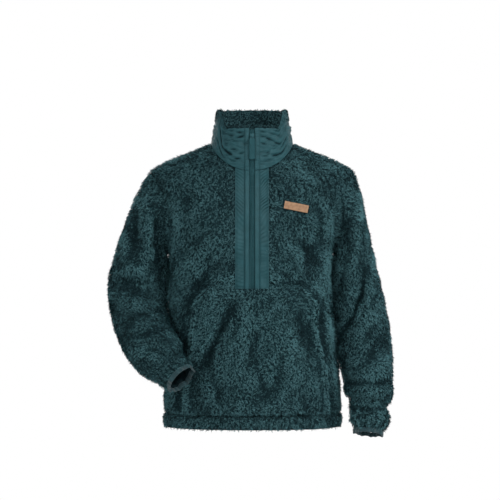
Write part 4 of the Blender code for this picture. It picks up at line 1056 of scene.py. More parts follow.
def uneven_colour_group():
    """Two colours blended by noise of a given size on Object coordinates."""
    sockets = (
        ("Light", "NodeSocketColor", WHITE),
        ("Deep", "NodeSocketColor", (0, 0, 0, 1)),
        ("Scale", "NodeSocketFloat", 40.0),
    )
    tree, start, end = group("uneven_colour", sockets, (("Color", "NodeSocketColor"),))
    place = add(tree, "ShaderNodeTexCoord")
    noise = add(tree, "ShaderNodeTexNoise",
                {"Vector": place.outputs["Object"], "Scale": start.outputs["Scale"], "Detail": 4.0})
    ramp = add(tree, "ShaderNodeMapRange",
               {"Value": noise.outputs["Fac"], "From Min": 0.34, "From Max": 0.66})
    mix = blend(tree, ramp.outputs["Result"], start.outputs["Deep"], start.outputs["Light"])
    tree.links.new(mix, end.inputs["Color"])


def thread_relief_group():
    """Height of a plain weave: two crossed sets of fine waves, roughened by noise."""
    sockets = (("Scale", "NodeSocketFloat", 900.0), ("Roughness", "NodeSocketFloat", 0.4))
    tree, start, end = group("thread_relief", sockets, (("Height", "NodeSocketFloat"),))
    place = add(tree, "ShaderNodeTexCoord").outputs["Object"]
    size = {"Vector": place, "Scale": start.outputs["Scale"], "Distortion": 0.6}
    waves = [add(tree, "ShaderNodeTexWave", size, bands_direction=axis).outputs["Fac"] for axis in "XZ"]
    noise = add(tree, "ShaderNodeTexNoise", {"Vector": place, "Scale": 260.0, "Detail": 3.0})
    crossed = add(tree, "ShaderNodeMath", {0: waves[0], 1: waves[1]}, operation="ADD")
    rough = add(tree, "ShaderNodeMath", {0: noise.outputs["Fac"], 1: start.outputs["Roughness"]},
                operation="MULTIPLY")
    total = add(tree, "ShaderNodeMath", {0: crossed.outputs[0], 1: rough.outputs[0]}, operation="ADD")
    tree.links.new(total.outputs[0], end.inputs["Height"])


def blank(name, roughness, sheen=0.0, sheen_tint=WHITE, specular=0.5, gloss_tint=WHITE):
    """A material with its Principled shader, constants set on the shader."""
    material = bpy.data.materials.new(name)
    material.use_nodes = True
    shader = material.node_tree.nodes["Principled BSDF"]
    for label, value in (
        ("Roughness", roughness), ("Specular IOR Level", specular), ("Specular Tint", gloss_tint),
        ("Sheen Weight", sheen), ("Sheen Roughness", 0.5), ("Sheen Tint", sheen_tint),
    ):
        shader.inputs[label].default_value = value
    return material, material.node_tree, shader


def paint(tree, light, deep, scale):
    """Uneven colour between two, with noise of a scale."""
    colour = add(tree, "ShaderNodeGroup", node_tree=bpy.data.node_groups["uneven_colour"])
    for label, value in (("Light", light), ("Deep", deep), ("Scale", scale)):
        colour.inputs[label].default_value = value
    return colour.outputs["Color"]


def cloth(name, light, deep, roughness, scale, bump, weave=900.0, **shine):
    """Woven or knitted cloth: uneven colour and the relief of its threads. Where its
    painted shade mark says so, in creases, pucker troughs, seams and beside the
    welts, its colour is darkened to painted shade and its gloss dimmed."""
    material, tree, shader = blank(name, roughness, **shine)
    # the painted shade mark: creases, pucker troughs, seams and the lines beside the welts
    painted_shade = add(tree, "ShaderNodeAttribute", attribute_name="painted_shade").outputs["Fac"]
    shaded = blend(tree, painted_shade, paint(tree, light, deep, scale), tinted(deep, CREASE_SHADE))
    gloss = add(tree, "ShaderNodeMapRange",
                {"Value": painted_shade, "To Min": shine.get("specular", 0.5), "To Max": CREASE_GLOSS})
    threads = add(tree, "ShaderNodeGroup", node_tree=bpy.data.node_groups["thread_relief"])
    threads.inputs["Scale"].default_value = weave
    raised = add(tree, "ShaderNodeBump",
                 {"Height": threads.outputs["Height"], "Strength": 0.6, "Distance": bump})
    tree.links.new(shaded, shader.inputs["Base Color"])
    tree.links.new(gloss.outputs["Result"], shader.inputs["Specular IOR Level"])
    tree.links.new(raised.outputs["Normal"], shader.inputs["Normal"])
    return material


def pile_material(name, root, deep, light):
    """Pile: painted dark at the roots, as shade deep among the locks, and between
    two colours at the tips by the lock's tone. Below zero the tone takes the whole
    lock towards the colour of its root, so painted shade in troughs and cut seams
    darkens it."""
    material, tree, shader = blank(name, 0.85, sheen=0.12, sheen_tint=(0.30, 0.85, 0.95, 1.0), specular=0.08)
    tip = add(tree, "ShaderNodeAttribute", attribute_name="tip").outputs["Fac"]
    tone = add(tree, "ShaderNodeAttribute", attribute_name="tone").outputs["Fac"]
    low = add(tree, "ShaderNodeMapRange", {"Value": tone, "From Min": -0.15, "From Max": -0.75})
    sunk = blend(tree, low.outputs["Result"], blend(tree, tone, deep, light), root)
    rise = add(tree, "ShaderNodeMapRange", {"Value": tip, "From Min": 0.0, "From Max": 0.8},
               interpolation_type="SMOOTHSTEP")
    tree.links.new(blend(tree, rise.outputs["Result"], root, sunk), shader.inputs["Base Color"])
    return material


def painted_metal(name, colour):
    """Painted zinc: thin paint that wears brighter where noise says so."""
    material, tree, shader = blank(name, 0.5, specular=0.3, gloss_tint=GLOSS)
    tree.links.new(paint(tree, tinted(colour, 1.4), tinted(colour, 0.8), 500.0), shader.inputs["Base Color"])
    return material


def satin(specular, gloss_tint=None, **more):
    """Settings of a cloth's shine, in the nylon's tint unless another is given."""
    return {"specular": specular, "gloss_tint": gloss_tint or GLOSS, **more}


def make_materials(settings):
    """All finishes by name. The rows of cloths give its key, its name, its light and
    its deep colour, then roughness, noise scale, relief and weave, then its shine."""
    uneven_colour_group()
    thread_relief_group()
    colours = settings.colours
    root, pile_deep, nylon, binding, leather = (
        tinted(getattr(colours, name)) for name in ("pile_root", "pile_deep", "nylon", "binding", "leather")
    )
    deep_nylon, tan = tinted(nylon, 0.82), (0.62, 0.42, 0.26, 1.0)
    rows = (
        # the backing takes the pile's shade colours: painted shade, as it lies deep between the locks
        ("backing", "fleece_backing", tinted(pile_deep, 0.7), root, (0.95, 90.0, 0.0006, 420.0),
         satin(0.1, WHITE)),
        ("nylon", "collar_nylon", nylon, deep_nylon, (0.5, 55.0, 0.00012), satin(0.22)),
        ("binding", "cuff_binding", binding, tinted(binding, 0.6), (0.7, 120.0, 0.0003, 700.0),
         satin(0.3, WHITE, sheen=0.2)),
        ("tape", "zip_tape", tinted(nylon, 0.8), tinted(nylon, 0.65), (0.65, 140.0, 0.0002, 800.0),
         satin(0.12)),
        ("thread", "sewing_thread", tinted(nylon, 1.25), nylon, (0.6, 300.0, 0.0001), satin(0.15)),
        ("coil", "zip_coil", tinted(nylon, 0.9), deep_nylon, (0.45, 300.0, 0.00005), satin(0.2)),
        ("webbing", "pull_webbing", nylon, deep_nylon, (0.6, 90.0, 0.0002, 1100.0), satin(0.12)),
        ("leather", "label_leather", leather, tinted(leather, 0.7), (0.5, 160.0, 0.0003, 350.0),
         satin(0.4, WHITE)),
        ("tan_thread", "label_thread", tan, (0.42, 0.25, 0.14, 1.0), (0.6, 300.0, 0.0001), {}),
    )
    MATERIALS.update({key: cloth(*look, *sizes, **shine) for key, *look, sizes, shine in rows})
    MATERIALS["pile"] = pile_material("fleece_pile", root, pile_deep, tinted(colours.pile_light))
    MATERIALS["metal"] = painted_metal("slider_paint", nylon)


# ---- dressing each piece
def dress(piece, slot, *nodes, body="garment"):
    """Puts a piece on its body, in the place of its solids, which it hides. slot is not used."""
    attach(piece, body)
    if nodes:
        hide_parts(*nodes)
    return piece


def sew(name, lines, sizes, slot, finish="thread", body="garment"):
    """Rows of stitches, as one piece, along lines that come with their normals."""
    rows = [stitches(line, normals, *sizes) for line, normals in lines]
    return dress(joined(name, rows, MATERIALS[finish]), slot, body=body)


def thinned(grid):
    """Every second line of points of a grid, for the backing under the pile."""
    return grid[::BACKING_STEP, ::BACKING_STEP]


def layers(skin):
    """Face and back of the backing and the pile's roots, from a skin by depth."""
    return thinned(skin(BACKING_FACE)), thinned(skin(FLEECE)), skin(ROOT_DEPTH)


def fleece(name, face, back, base, height, settings, seed, out=-1, down=-1, reach=1, node=None,
           cut=None, **more):
    """A piece's backing between two grids, and its pile on a third. out and down
    are -1 where the grid's normals point inwards and where its rows run upwards."""
    backing = wall(f"{name}_backing", face, back, MATERIALS["backing"], **(cut or {}))
    normals, flow = out * grid_normals(base, reach=reach), down * np.gradient(base, axis=0)
    nap = pile(f"{name}_pile", base, normals, flow, height, settings.pile, seed, **more)
    return dress(backing, "fleece", node or name), dress(nap, "fleece")


def in_label(points):
    """Points of the front that lie under the chest label."""
    x, z = points[:, 0] - LABEL_PLACE[0], points[:, 2] - LABEL_PLACE[1]
    over = x * math.cos(LABEL_TILT) + z * math.sin(LABEL_TILT)
    up = z * math.cos(LABEL_TILT) - x * math.sin(LABEL_TILT)
    return (np.abs(over) < LABEL_SIZE[0] / 2 + 0.001) & (np.abs(up) < LABEL_SIZE[1] / 2 - 0.002)


def dress_front(settings):
    """Front panel: its backing, and pile outside the placket, pouch and label."""
    keep = np.ones((len(LEVELS) - 1, FRONT_TURNS.shape[1] - 1), dtype=bool)
    keep[NOTCH_ROW:, SLOT_FIRST:SLOT_LAST] = False
    hairy = keep.copy()
    hairy[CASING_ROW + 2:NOTCH_ROW - 2, SIDE_CELLS + 2:-SIDE_CELLS - 2] = False
    # the furrows are painted as extra shade in the front's pile tone
    height = body_height(FRONT_TURNS, LEVEL_GRID) - FURROW_SHADE * (pouch_furrow() + top_furrow())
    trim = casing_trim(LEVEL_GRID) * np.ones(height.shape)
    backing, nap = fleece("front", *layers(front_skin), height, settings, 11, cut={"keep": thinned(keep)},
                          keep=hairy, bare=in_label, trim=trim)


def dress_back(settings):
    """Back panel: backing and pile."""
    height = body_height(BACK_TURNS, LEVEL_GRID)
    trim = casing_trim(LEVEL_GRID) * np.ones(height.shape)
    backing, nap = fleece("back", *layers(back_skin), height, settings, 23, trim=trim, density=0.58)


def dress_pocket(settings):
    """Pouch: the front's own points between the pouch lines, moved out. Above it
    its pile sinks over a few rows to meet the front's."""
    rows = slice(CASING_ROW, NOTCH_ROW + 1 + POCKET_RAMP)
    columns = slice(SIDE_CELLS, SIDE_CELLS + 2 * POUCH_CELLS + SLOT_CELLS + 1)
    turns, levels = FRONT_TURNS[rows, columns], LEVEL_GRID[rows]
    over = np.arange(turns.shape[1]) / (turns.shape[1] - 1)
    from_side = np.minimum(over, 1 - over) * POCKET_REACH
    rolled = POCKET_ROLL * bell(from_side - POCKET_ROLL_AT, POCKET_ROLL_REACH) * np.ones(turns.shape)
    flap = slice(None, -POCKET_RAMP)
    face = body_skin(turns, levels, POCKET_FACE - rolled)[flap]
    back = body_skin(turns, levels, POCKET_BACK)[flap]
    foot = levels[-1 - POCKET_RAMP]
    ramp = ease((levels - foot + 0.004) / (levels[-1] - foot + 0.004))
    base = body_skin(turns, levels, POCKET_FACE - rolled * (1.0 - ramp) + ROOT_DEPTH * ramp)
    hairy = np.ones((len(levels) - 1, turns.shape[1] - 1), dtype=bool)
    hairy[-POCKET_RAMP:, POUCH_CELLS:POUCH_CELLS + SLOT_CELLS] = False
    # the rolled edges are painted as extra highlight, and the whole pouch a little lighter
    height = body_height(turns, levels) + FURROW_SHADE * rolled * (1.0 - ramp) + POUCH_LIGHT
    backing, nap = fleece("pocket", thinned(face), thinned(back), base, height, settings, 37, keep=hairy,
                          scale=0.9)


def dress_sleeves(settings):
    """Both sleeves and their cuff bindings."""
    for name, arm, side, folds, seed in (
        ("left", SLEEVE_LEFT, 1, LEFT_SLEEVE_FOLDS, 41),
        ("right", SLEEVE_RIGHT, -1, RIGHT_SLEEVE_FOLDS, 59),
    ):
        form = sleeve_form(arm, side, folds)
        face, back, base = layers(lambda depth: sleeve_skin(arm, form, depth))
        base, height = (np.concatenate([grid, grid[:, :1]], axis=1) for grid in (base, form[2]))
        backing, nap = fleece(f"sleeve_{name}", face, back, base, height, settings, seed, side, 1,
                              REFINE // 2, cut={"ring": True})
        dress_cuff(name, arm, *(sleeve_skin(arm, form, depth)[-1] for depth in (0.0, FLEECE)))


def dress_cuff(name, arm, tip, inner):
    """Elastic binding round the end of a sleeve, with rounded edges and fine ribs.
    It has two lines of points for each of the sleeve's."""
    ring = np.concatenate([np.stack([tip, inner], axis=1), np.stack([tip[:1], inner[:1]], axis=1)])
    at = np.linspace(0, len(ring) - 1, (len(ring) - 1) * 2, endpoint=False)
    low = at.astype(int)
    ring = ring[low] + (ring[low + 1] - ring[low]) * (at - low)[:, None, None]
    middle, away = ring.mean(axis=1), unit(ring[:, 0] - ring[:, 1])
    share = np.linspace(0.0, 1.0, 8)[:, None]
    out = 0.5 * CUFF_THICK * (0.35 + 0.65 * (1.0 - np.abs(2.0 * share - 1.0) ** 5) ** 0.5)
    ribs = CUFF_RIB * np.cos(np.arange(len(middle)) * math.pi)[None, :] * np.sin(math.pi * share)
    pucker = CUFF_PUCKER * ripple(middle, 0.016, 71)[None, :] * np.sin(math.pi * share)
    base = middle[None] + (GAP + share * CUFF_WIDTH)[..., None] * arm_axis(arm, CUFF_STATION)
    outer = base + (out + ribs + pucker)[..., None] * away
    band = wall(f"cuff_{name}_band", outer, base - out[..., None] * away, MATERIALS["binding"], ring=True)
    dress(band, "binding", f"cuff_{name}")
    line, normals = (np.concatenate([points, points[:1]]) for points in (outer[2] + away * 0.0001, away))
    sewn = sew(f"cuff_{name}_stitches", [(line, normals)], CUFF_STITCH, "binding")


def off_seams(height, rise):
    """Heights on the collar, faded out towards its foot and its rim."""
    return height * ease(rise / 0.1) * ease((1.0 - rise) / 0.06)


def dress_collar(settings):
    """Nylon outer collar with its creases and welts, and its stitch lines."""
    rises = finer(COLLAR_RISES, 8)[:, None]
    turns = neck_turns(rises[:, 0], 5)
    plain = collar_ring(turns, rises)
    from_zip = np.abs(plain[..., 0])
    front = np.cos(turns) > 0
    shape = off_seams(collar_creases(turns, rises), rises)
    for tall, flat, size, seed in COLLAR_RIPPLES:
        shape += off_seams(tall * ripple(plain * [1.0, 1.0, flat], size, seed), rises)
    raised = np.where(front, welt(from_zip), 0.0) + np.where(from_zip > WELT[3], shape, 0.4 * shape)
    outer = collar_skin(turns, rises, -raised)
    inner = collar_skin(turns, rises, NYLON - np.minimum(raised, 0.0))
    lines = np.where(front, welt_shadow_lines(from_zip), 0.0)
    # painted shade in the creases' troughs and in lines beside the welts
    painted_shade = np.clip(np.maximum(lines, -0.36 * crest(shape) / 0.0011 - 0.24 * shape / 0.0020), 0.0, 1.0)
    shell = wall("collar_nylon", outer, inner, MATERIALS["nylon"], painted_shade=painted_shade)
    dress(shell, "nylon", "collar_outer")
    normals = -grid_normals(outer)
    columns = slice(15, turns.shape[1] - 15)
    lines = [(outer[row, columns], normals[row, columns]) for row in (5, len(rises) - 6)]
    sewn = sew("collar_stitches", lines, NYLON_STITCH, "nylon")


def dress_lining(settings):
    """Fleece inside the collar, rolled over its rim, further down at the sides."""
    rises, *depths = (finer(column, 2)[:, None] for column in LINING_SKIN.values())
    turns = neck_turns(rises[:, 0], 2)
    face, back = (collar_skin(turns, rises, depth) for depth in depths)
    rises, depth = (finer(column, 2)[:, None] for column in RIM_ROOTS.values())
    turns = neck_turns(rises[:, 0], 2)
    row = np.arange(len(rises))[:, None]
    rolled = ease((np.abs(np.sin(turns)) - ROLL_SIDE[0]) / ROLL_SIDE[1]) * ROLL_DOWN
    rises = rises - rolled * ease((row - ROLL_ROWS[0]) / ROLL_ROWS[1])
    base = collar_skin(turns, rises, depth)
    trim = 1.0 - RIM_TRIM * ease((row - len(row) + 4) / 3.0) * np.ones(turns.shape)
    # the lining's pile counts as raised cloth, so it is painted lighter
    shell, nap = fleece("lining", face, back, base, np.full(turns.shape, LINING_LIGHT), settings, 83, 1, 1,
                        node="collar_lining", trim=trim, scale=0.55, density=1.35)


def dress_placket(settings):
    """Nylon strips beside the zip, with a welt, puckers and stitch lines."""
    levels = finer(LEVELS[NOTCH_ROW::2], 3)[:, None]
    levels[0] += GAP
    for name, side in (("left", 1), ("right", -1)):
        marks = side * placket_marks(5)
        away = np.abs(marks)
        turns = turn_at(marks[None, :], levels)
        spot = body_ring(turns, levels)
        flat = ease((away - WELT[3] - 0.002) / 0.003) * ease((SLOT_HALF - away) / 0.004)
        seam = sum(bell(away - place, reach) for place, reach in PLACKET_SEAMS)
        slant = 0.25 + 0.75 * ease((levels + 0.24) / 0.10)
        wave = 2 * math.pi * (spot[..., 2] - slant * np.abs(spot[..., 0])) / PUCKER_PITCH
        pucker = np.sin(wave + 2.2 * ripple(spot, 0.045, 5 + side))
        pucker = pucker * (0.7 + 0.5 * ripple(spot, 0.05, 15 + side))
        uneven = 0.0008 * ripple(spot, 0.040, 9 + side)
        height = welt(marks) + (PUCKER * pucker * (0.4 + 0.6 * slant) + uneven) * flat - SEAM_DEPTH * seam
        outer = body_skin(turns, levels, PLACKET_SUNK - height) - [0.0, GAP / 2, 0.0]
        inner = body_skin(turns, levels, PLACKET_SUNK + PLACKET) - [0.0, GAP / 2, 0.0]
        # painted shade in the puckers' troughs, along the seams and beside the welts
        dips = 0.8 * np.clip(-pucker, 0.0, 1.0) * flat * (0.3 + 0.7 * slant)
        painted_shade = np.clip(dips + welt_shadow_lines(marks) + 0.35 * seam, 0.0, 1.0)
        strip = wall(f"placket_{name}_nylon", outer, inner, MATERIALS["nylon"], painted_shade=painted_shade)
        dress(strip, "nylon", f"placket_{name}")
        normals = side * -grid_normals(outer)
        columns = [int(np.argmin(np.abs(away - place))) for place, _ in PLACKET_SEAMS]
        lines = [(outer[:, column], normals[:, column]) for column in columns]
        sewn = sew(f"placket_{name}_stitches", lines, NYLON_STITCH, "nylon")


def zip_line():
    """Middle line of the zip on its tape, foot to top, with its normals."""
    levels = finer(LEVELS[NOTCH_ROW:-1:2], 2)
    lower = body_skin(np.zeros_like(levels), levels, PLACKET_SUNK) - [0.0, GAP / 2, 0.0]
    rises = np.linspace(*TAPE_ENDS, 40)
    upper = collar_skin(np.zeros_like(rises), rises, np.zeros_like(rises))
    path = np.concatenate([lower, upper])
    return path, np.cross(ACROSS, unit(np.gradient(path, axis=0)))


def dress_zip(settings):
    """Tapes in their finish, and the closed zip's two slanting rows of coil."""
    for name in ("left", "right"):
        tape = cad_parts[f"zip_tape_{name}"]
        tape.material_slots[0].material = MATERIALS["tape"]
    path, normals = zip_line()
    count = int(length_of(path) / TOOTH_PITCH)
    points, out = along(path, normals, (np.arange(count) + 0.5) * TOOTH_PITCH)
    points, out, up = points[:, None], out[:, None], unit(np.gradient(points, axis=0))[:, None]
    share = np.array([0.0, 0.35, 0.8, 1.0])[None, :, None]
    bulge = (np.array([0.25, 0.42, 0.36, -0.1]) * 1e-3)[None, :, None]
    rows = []
    for side in (1, -1):
        line = points + side * (0.00025 + 0.0021 * share) * ACROSS + (0.0008 * share - 0.0004) * up
        line = line + out * bulge
        rows.append(tubes(line, np.broadcast_to(out, line.shape), 0.00052, 0.00042))
    dress(joined("zip_coil_rows", rows, MATERIALS["coil"]), "zip_tape")


def zip_matrix():
    """Rotation and place of the pull's joint: its third axis runs up the zip and
    its second points into the cloth."""
    rises = np.array([SLIDER_RISE, SLIDER_RISE - 0.5])
    high, low = collar_skin(np.zeros(2), rises, np.zeros(2))
    up = unit(high - low)
    into = np.array([0.0, up[2], -up[1]])
    return np.stack([ACROSS, into, up], axis=1), high - into * PIVOT_OUT


def placed(x, y, z):
    """Points in the pull's own axes, moved to where the joint is."""
    turn, place = zip_matrix()
    return np.stack(np.broadcast_arrays(x, y, z), axis=-1) @ turn.T + place


def plate(name, half, low, high, thick, middle, finish, rows=25):
    """A closed plate with rounded edges: half gives its half width along its
    height, and its faces fall away towards the sides and the two ends."""
    over, up = np.meshgrid(np.linspace(-1, 1, 13), np.linspace(0, 1, rows))
    over = np.sin(over * math.pi / 2) * 0.5 + over * 0.5
    up = 0.5 - 0.5 * np.cos(math.pi * up)
    fall = (1.0 - np.abs(over) ** 9) * (1.0 - np.abs(2 * up - 1) ** 16)
    depth = thick / 2 * (0.3 + 0.7 * np.clip(fall, 0.0, 1.0) ** 0.5)
    outer, inner = (placed(over * half(up), middle + y, low + (high - low) * up) for y in (-depth, depth))
    return wall(name, outer, inner, MATERIALS[finish])


def dress_slider(settings):
    """Slider body and the bridge that holds the pull."""
    wide, thick, tall = SLIDER_SIZE
    back = PIVOT_OUT - 0.0002
    body = plate(
        "slider_body",
        lambda up: wide / 2 * (0.78 + 0.22 * ease(up * 1.6)) * (1.0 - 0.25 * np.abs(2 * up - 1) ** 8),
        -0.0015 - tall / 2, -0.0015 + tall / 2, thick, back - thick / 2, "metal",
    )
    dress(body, "painted_metal", "zip_slider")
    swing = np.linspace(0, math.pi, 21)
    wire = 0.0006
    y = back - thick + wire - BRIDGE_SIZE[1] * np.abs(np.sin(swing)) ** 0.5
    z = (BRIDGE_SIZE[2] / 2 - wire) * signed_power(np.cos(swing), 0.6)
    path = placed(0.0, y, z)
    side = np.broadcast_to(ACROSS, path.shape)
    bridge = tubes(path[None], side[None], wire, BRIDGE_SIZE[0] / 2, 12)
    dress(joined("slider_bridge", [bridge], MATERIALS["metal"]), "painted_metal")


def dress_pull(settings):
    """Pull: a wire loop through the bridge, and a woven tab folded round it."""
    wide, thick, tall = PULL_SIZE
    top, bottom = -0.0064, 0.0009 - tall
    tab = plate("pull_tab", lambda up: wide / 2 * (1.0 - 0.10 * np.abs(2 * up - 1) ** 14),
                bottom, top, thick, 0.0, "webbing", rows=41)
    angle = np.linspace(0, 2 * math.pi, 40, endpoint=False)
    x, z = 0.0042 * signed_power(np.cos(angle), 0.45), -0.0040 + 0.0040 * signed_power(np.sin(angle), 0.45)
    path = placed(x, 0.0, z)
    into = zip_matrix()[0][:, 1]
    loop = tubes(path[None], np.broadcast_to(into, path.shape)[None], 0.0008, 0.0008, 10, closed=True)
    loop = joined("pull_loop", [loop], MATERIALS["metal"])
    dress(tab, "pull_rubber", "zip_pull", body="zip_pull")
    dress(loop, "painted_metal", body="zip_pull")
    across = np.linspace(-0.42, 0.42, 12) * wide
    lines = [placed(across, -thick / 2, height) for height in (top - 0.0035, bottom + 0.0085)]
    lines = [(line, np.broadcast_to(-into, line.shape)) for line in lines]
    sew("pull_stitches", lines, PULL_STITCH, "pull_rubber", body="zip_pull")


def on_label(over, up):
    """Angle and level at which the plain front passes through points of the label,
    which are given along its length and its height from its middle."""
    x = LABEL_PLACE[0] + over * math.cos(LABEL_TILT) - up * math.sin(LABEL_TILT)
    z = LABEL_PLACE[1] + over * math.sin(LABEL_TILT) + up * math.cos(LABEL_TILT)
    level = z
    for _ in range(30):
        level = z + read(BODY, "dip", level) * np.abs(np.cos(turn_at(x, level))) ** DIP_POWER
    return turn_at(x, level), level


def dress_label(settings):
    """Bare leather label with rounded edges, sewn to the left chest."""
    width, height = LABEL_SIZE
    over, up = np.meshgrid(np.linspace(-0.5, 0.5, 49), np.linspace(-0.5, 0.5, 19))
    turns, levels = on_label(over * width, up * height)
    edge = np.minimum(width * (0.5 - np.abs(over)), height * (0.5 - np.abs(up)))
    round_off = 0.0004 * (1.0 - ease(edge / 0.0008))
    pressed = 0.00025 * bell(edge - LABEL_SEAM, 0.0005)
    lift = 2 * GAP
    outer = body_skin(turns, levels, -lift - LABEL + round_off + pressed)
    label = wall("label_leather", outer, body_skin(turns, levels, -lift), MATERIALS["leather"])
    dress(label, "leather", "chest_label")
    corners = np.array([(-1, -1), (1, -1), (1, 1), (-1, 1), (-1, -1)])
    corners = corners * (np.array([width, height]) / 2 - LABEL_SEAM)
    at = np.linspace(0, 4, 161)
    turns, levels = on_label(*(np.interp(at, np.arange(5), side) for side in corners.T))
    line = body_skin(turns, levels, -lift - LABEL + 0.0001)
    line = (line, body_directions(turns, levels)[0])
    sewn = sew("label_stitches", [line], LABEL_STITCH, "leather", "tan_thread")


# ---- stage
LIGHT_AIM = (0.0, 0.0, -0.30)


def area_light(name, place, aim, size, power):
    """A square soft light that faces a point."""
    lamp = bpy.data.lights.new(name, "AREA")
    lamp.size = size
    lamp.energy = power
    holder = bpy.data.objects.new(name, lamp)
    bpy.context.scene.collection.objects.link(holder)
    holder.visible_camera = False
    holder.location = place
    holder.rotation_mode = "QUATERNION"
    holder.rotation_quaternion = (Vector(aim) - Vector(place)).to_track_quat("-Z", "Y")


def studio_world(settings):
    """White to the eye all round. As light it is dim, and bright from behind (+Y)
    as from a large white wall."""
    world = bpy.data.worlds.new("studio")
    world.use_nodes = True
    tree = world.node_tree
    sky = tree.nodes["Background"].inputs
    way = add(tree, "ShaderNodeTexCoord")
    parts = add(tree, "ShaderNodeSeparateXYZ", {"Vector": way.outputs["Generated"]})
    light = add(tree, "ShaderNodeMapRange",
                {"Value": parts.outputs["Y"], "From Min": 0.30, "From Max": 0.65, "To Min": settings.sky,
                 "To Max": settings.wall}, interpolation_type="SMOOTHSTEP")
    path = add(tree, "ShaderNodeLightPath")
    seen = add(tree, "ShaderNodeMapRange", {"Value": path.outputs["Is Camera Ray"], "To Max": 1.0})
    tree.links.new(light.outputs["Result"], seen.inputs["To Min"])
    sky["Color"].default_value = WHITE
    tree.links.new(seen.outputs["Result"], sky["Strength"])
    return world


def make_stage(pullover):
    """Pale round floor, soft lights and the photograph's camera. Each row of lights
    gives a name, a place, a size and a power."""
    settings = pullover.stage
    material, _, shader = blank("pale_floor", 0.9, specular=0.1)
    shader.inputs["Base Color"].default_value = (*settings.floor, 1.0)
    radius = np.linspace(0.001, settings.floor_radius, 12)[:, None]
    angle = np.linspace(0.0, 2 * math.pi, 96, endpoint=False)[None, :]
    level = settings.floor_level
    points = np.stack(np.broadcast_arrays(radius * np.cos(angle), radius * np.sin(angle), level), axis=-1)
    index = np.arange(radius.size * angle.size).reshape(radius.size, angle.size)
    after = np.roll(index, -1, axis=1)
    faces = np.stack([index[:-1], index[1:], after[1:], after[:-1]], axis=-1).reshape(-1, 4)
    floor = surface("floor", points.reshape(-1, 3), faces, material)

    for name, place, size, power in (
        ("key_left", (-2.7, -2.0, 1.3), 1.5, 46),
        ("key_right", (2.7, -2.0, 1.3), 1.5, 96),
        ("front", (0.3, -3.6, 1.5), 2.2, 34),
        ("back", (-0.4, 3.4, 1.5), 2.2, 70),
    ):
        area_light(name, place, LIGHT_AIM, size, power * settings.power)
    bpy.context.scene.world = studio_world(settings)

    lens = bpy.data.cameras.new("camera")
    lens.sensor_width = 36.0
    lens.angle = 2.0 * math.atan(0.5 * settings.field / settings.distance)
    camera = bpy.data.objects.new("camera", lens)
    bpy.context.scene.collection.objects.link(camera)
    camera.location = (settings.camera_side, -settings.distance, settings.camera_level)
    camera.rotation_euler = (math.pi / 2, 0.0, 0.0)
    bpy.context.scene.camera = camera
    bpy.context.scene.view_settings.view_transform = "Standard"


# ---- settings
def colour(name, description, value):
    """A colour that a user can change."""
    return FloatVectorProperty(name=name, description=description, default=value, subtype="COLOR", size=3,
                               min=0.0, max=1.0)


def number(name, description, value, **more):
    """A number that a user can change."""
    return FloatProperty(name=name, description=description, default=value, **more)


def metres(name, description, value):
    """A length that a user can change."""
    return number(name, description, value, unit="LENGTH", precision=4)


def angle(name, description, value):
    """An angle that a user can change."""
    return number(name, description, value, subtype="ANGLE")


class PileSettings(bpy.types.PropertyGroup):
    """Sizes of the pile."""

    lock_area: number("Lock area", "Cloth for each lock, in square millimetres", 14.4, min=5.0)
    blades: IntProperty(name="Blades", description="Blades in a lock", default=5, min=3, max=12)
    length: metres("Length", "Length of a lock", 0.0073)
    width: metres("Width", "Width of a blade at its middle", 0.0012)
    disc: metres("Disc", "Radius of a lock at its root", 0.0030)
    draw: number("Draw", "How far the blades of a lock draw together", 0.35)
    looseness: metres("Looseness", "How far blades stray from their lean", 0.0013)
    lift: angle("Lift", "Angle between lock and cloth", 0.72)
    swing: angle("Swing", "How far the nap turns from straight down", 0.8)
    swing_size: metres("Swing size", "Size of the nap's swirls", 0.050)
    unrest: angle("Unrest", "How far single locks turn from the nap", 0.35)
    # patches are random, and partly painted sheen where the nap turns
    patch: number("Patches", "Strength of light and dark patches", 0.20)
    patch_size: metres("Patch size", "Size of the patches", 0.050)
    tone: number("Tone", "Lightness of a lock on even cloth, from 0 to 1", 0.45)
    # ridge and crest set painted highlight on raised cloth and crests, and painted shade in troughs and
    # creases
    ridge: number("Ridges", "How much lighter high cloth is than low cloth", 0.38)
    crest: number("Crests", "How much lighter crests are than creases", 0.56)
    grain: number("Grain", "Difference between neighbouring locks", 0.30)
    softness: number("Softness", "How far blades are lit as the cloth under them", 0.6)


class ColourSettings(bpy.types.PropertyGroup):
    """Colours of the finishes."""

    # pile_root is painted shade: the dark deep among the locks, at their roots and on the backing
    pile_root: colour("Pile root", "Fleece between the locks", (0.0042, 0.0150, 0.0185))
    pile_deep: colour("Pile deep", "Darker locks", (0.0160, 0.0440, 0.0530))
    pile_light: colour("Pile light", "Lighter locks", (0.0820, 0.1980, 0.2200))
    nylon: colour("Nylon", "Collar and placket", (0.0205, 0.0790, 0.0930))
    binding: colour("Binding", "Cuff bindings", (0.0130, 0.0560, 0.0680))
    leather: colour("Leather", "Chest label", (0.4000, 0.2300, 0.1280))


class StageSettings(bpy.types.PropertyGroup):
    """Camera, lights and floor."""

    floor: colour("Floor", "Colour of the floor", (0.86, 0.86, 0.86))
    floor_level: metres("Floor level", "Height of the floor", -1.15)
    floor_radius: metres("Floor radius", "Radius of the round floor", 2.05)
    power: number("Power", "Strength of all the lights", 1.0, min=0.0)
    sky: number("Sky", "Strength of the light from all round", 0.24, min=0.0)
    wall: number("Wall", "Strength of the light from behind", 1.0, min=0.0)
    distance: metres("Distance", "Camera to garment", 4.5)
    field: metres("Field", "Width in view at the garment", 1.2)
    camera_side: metres("Side", "Camera's place to the side", -0.0048)
    camera_level: metres("Level", "Camera's height", -0.2568)


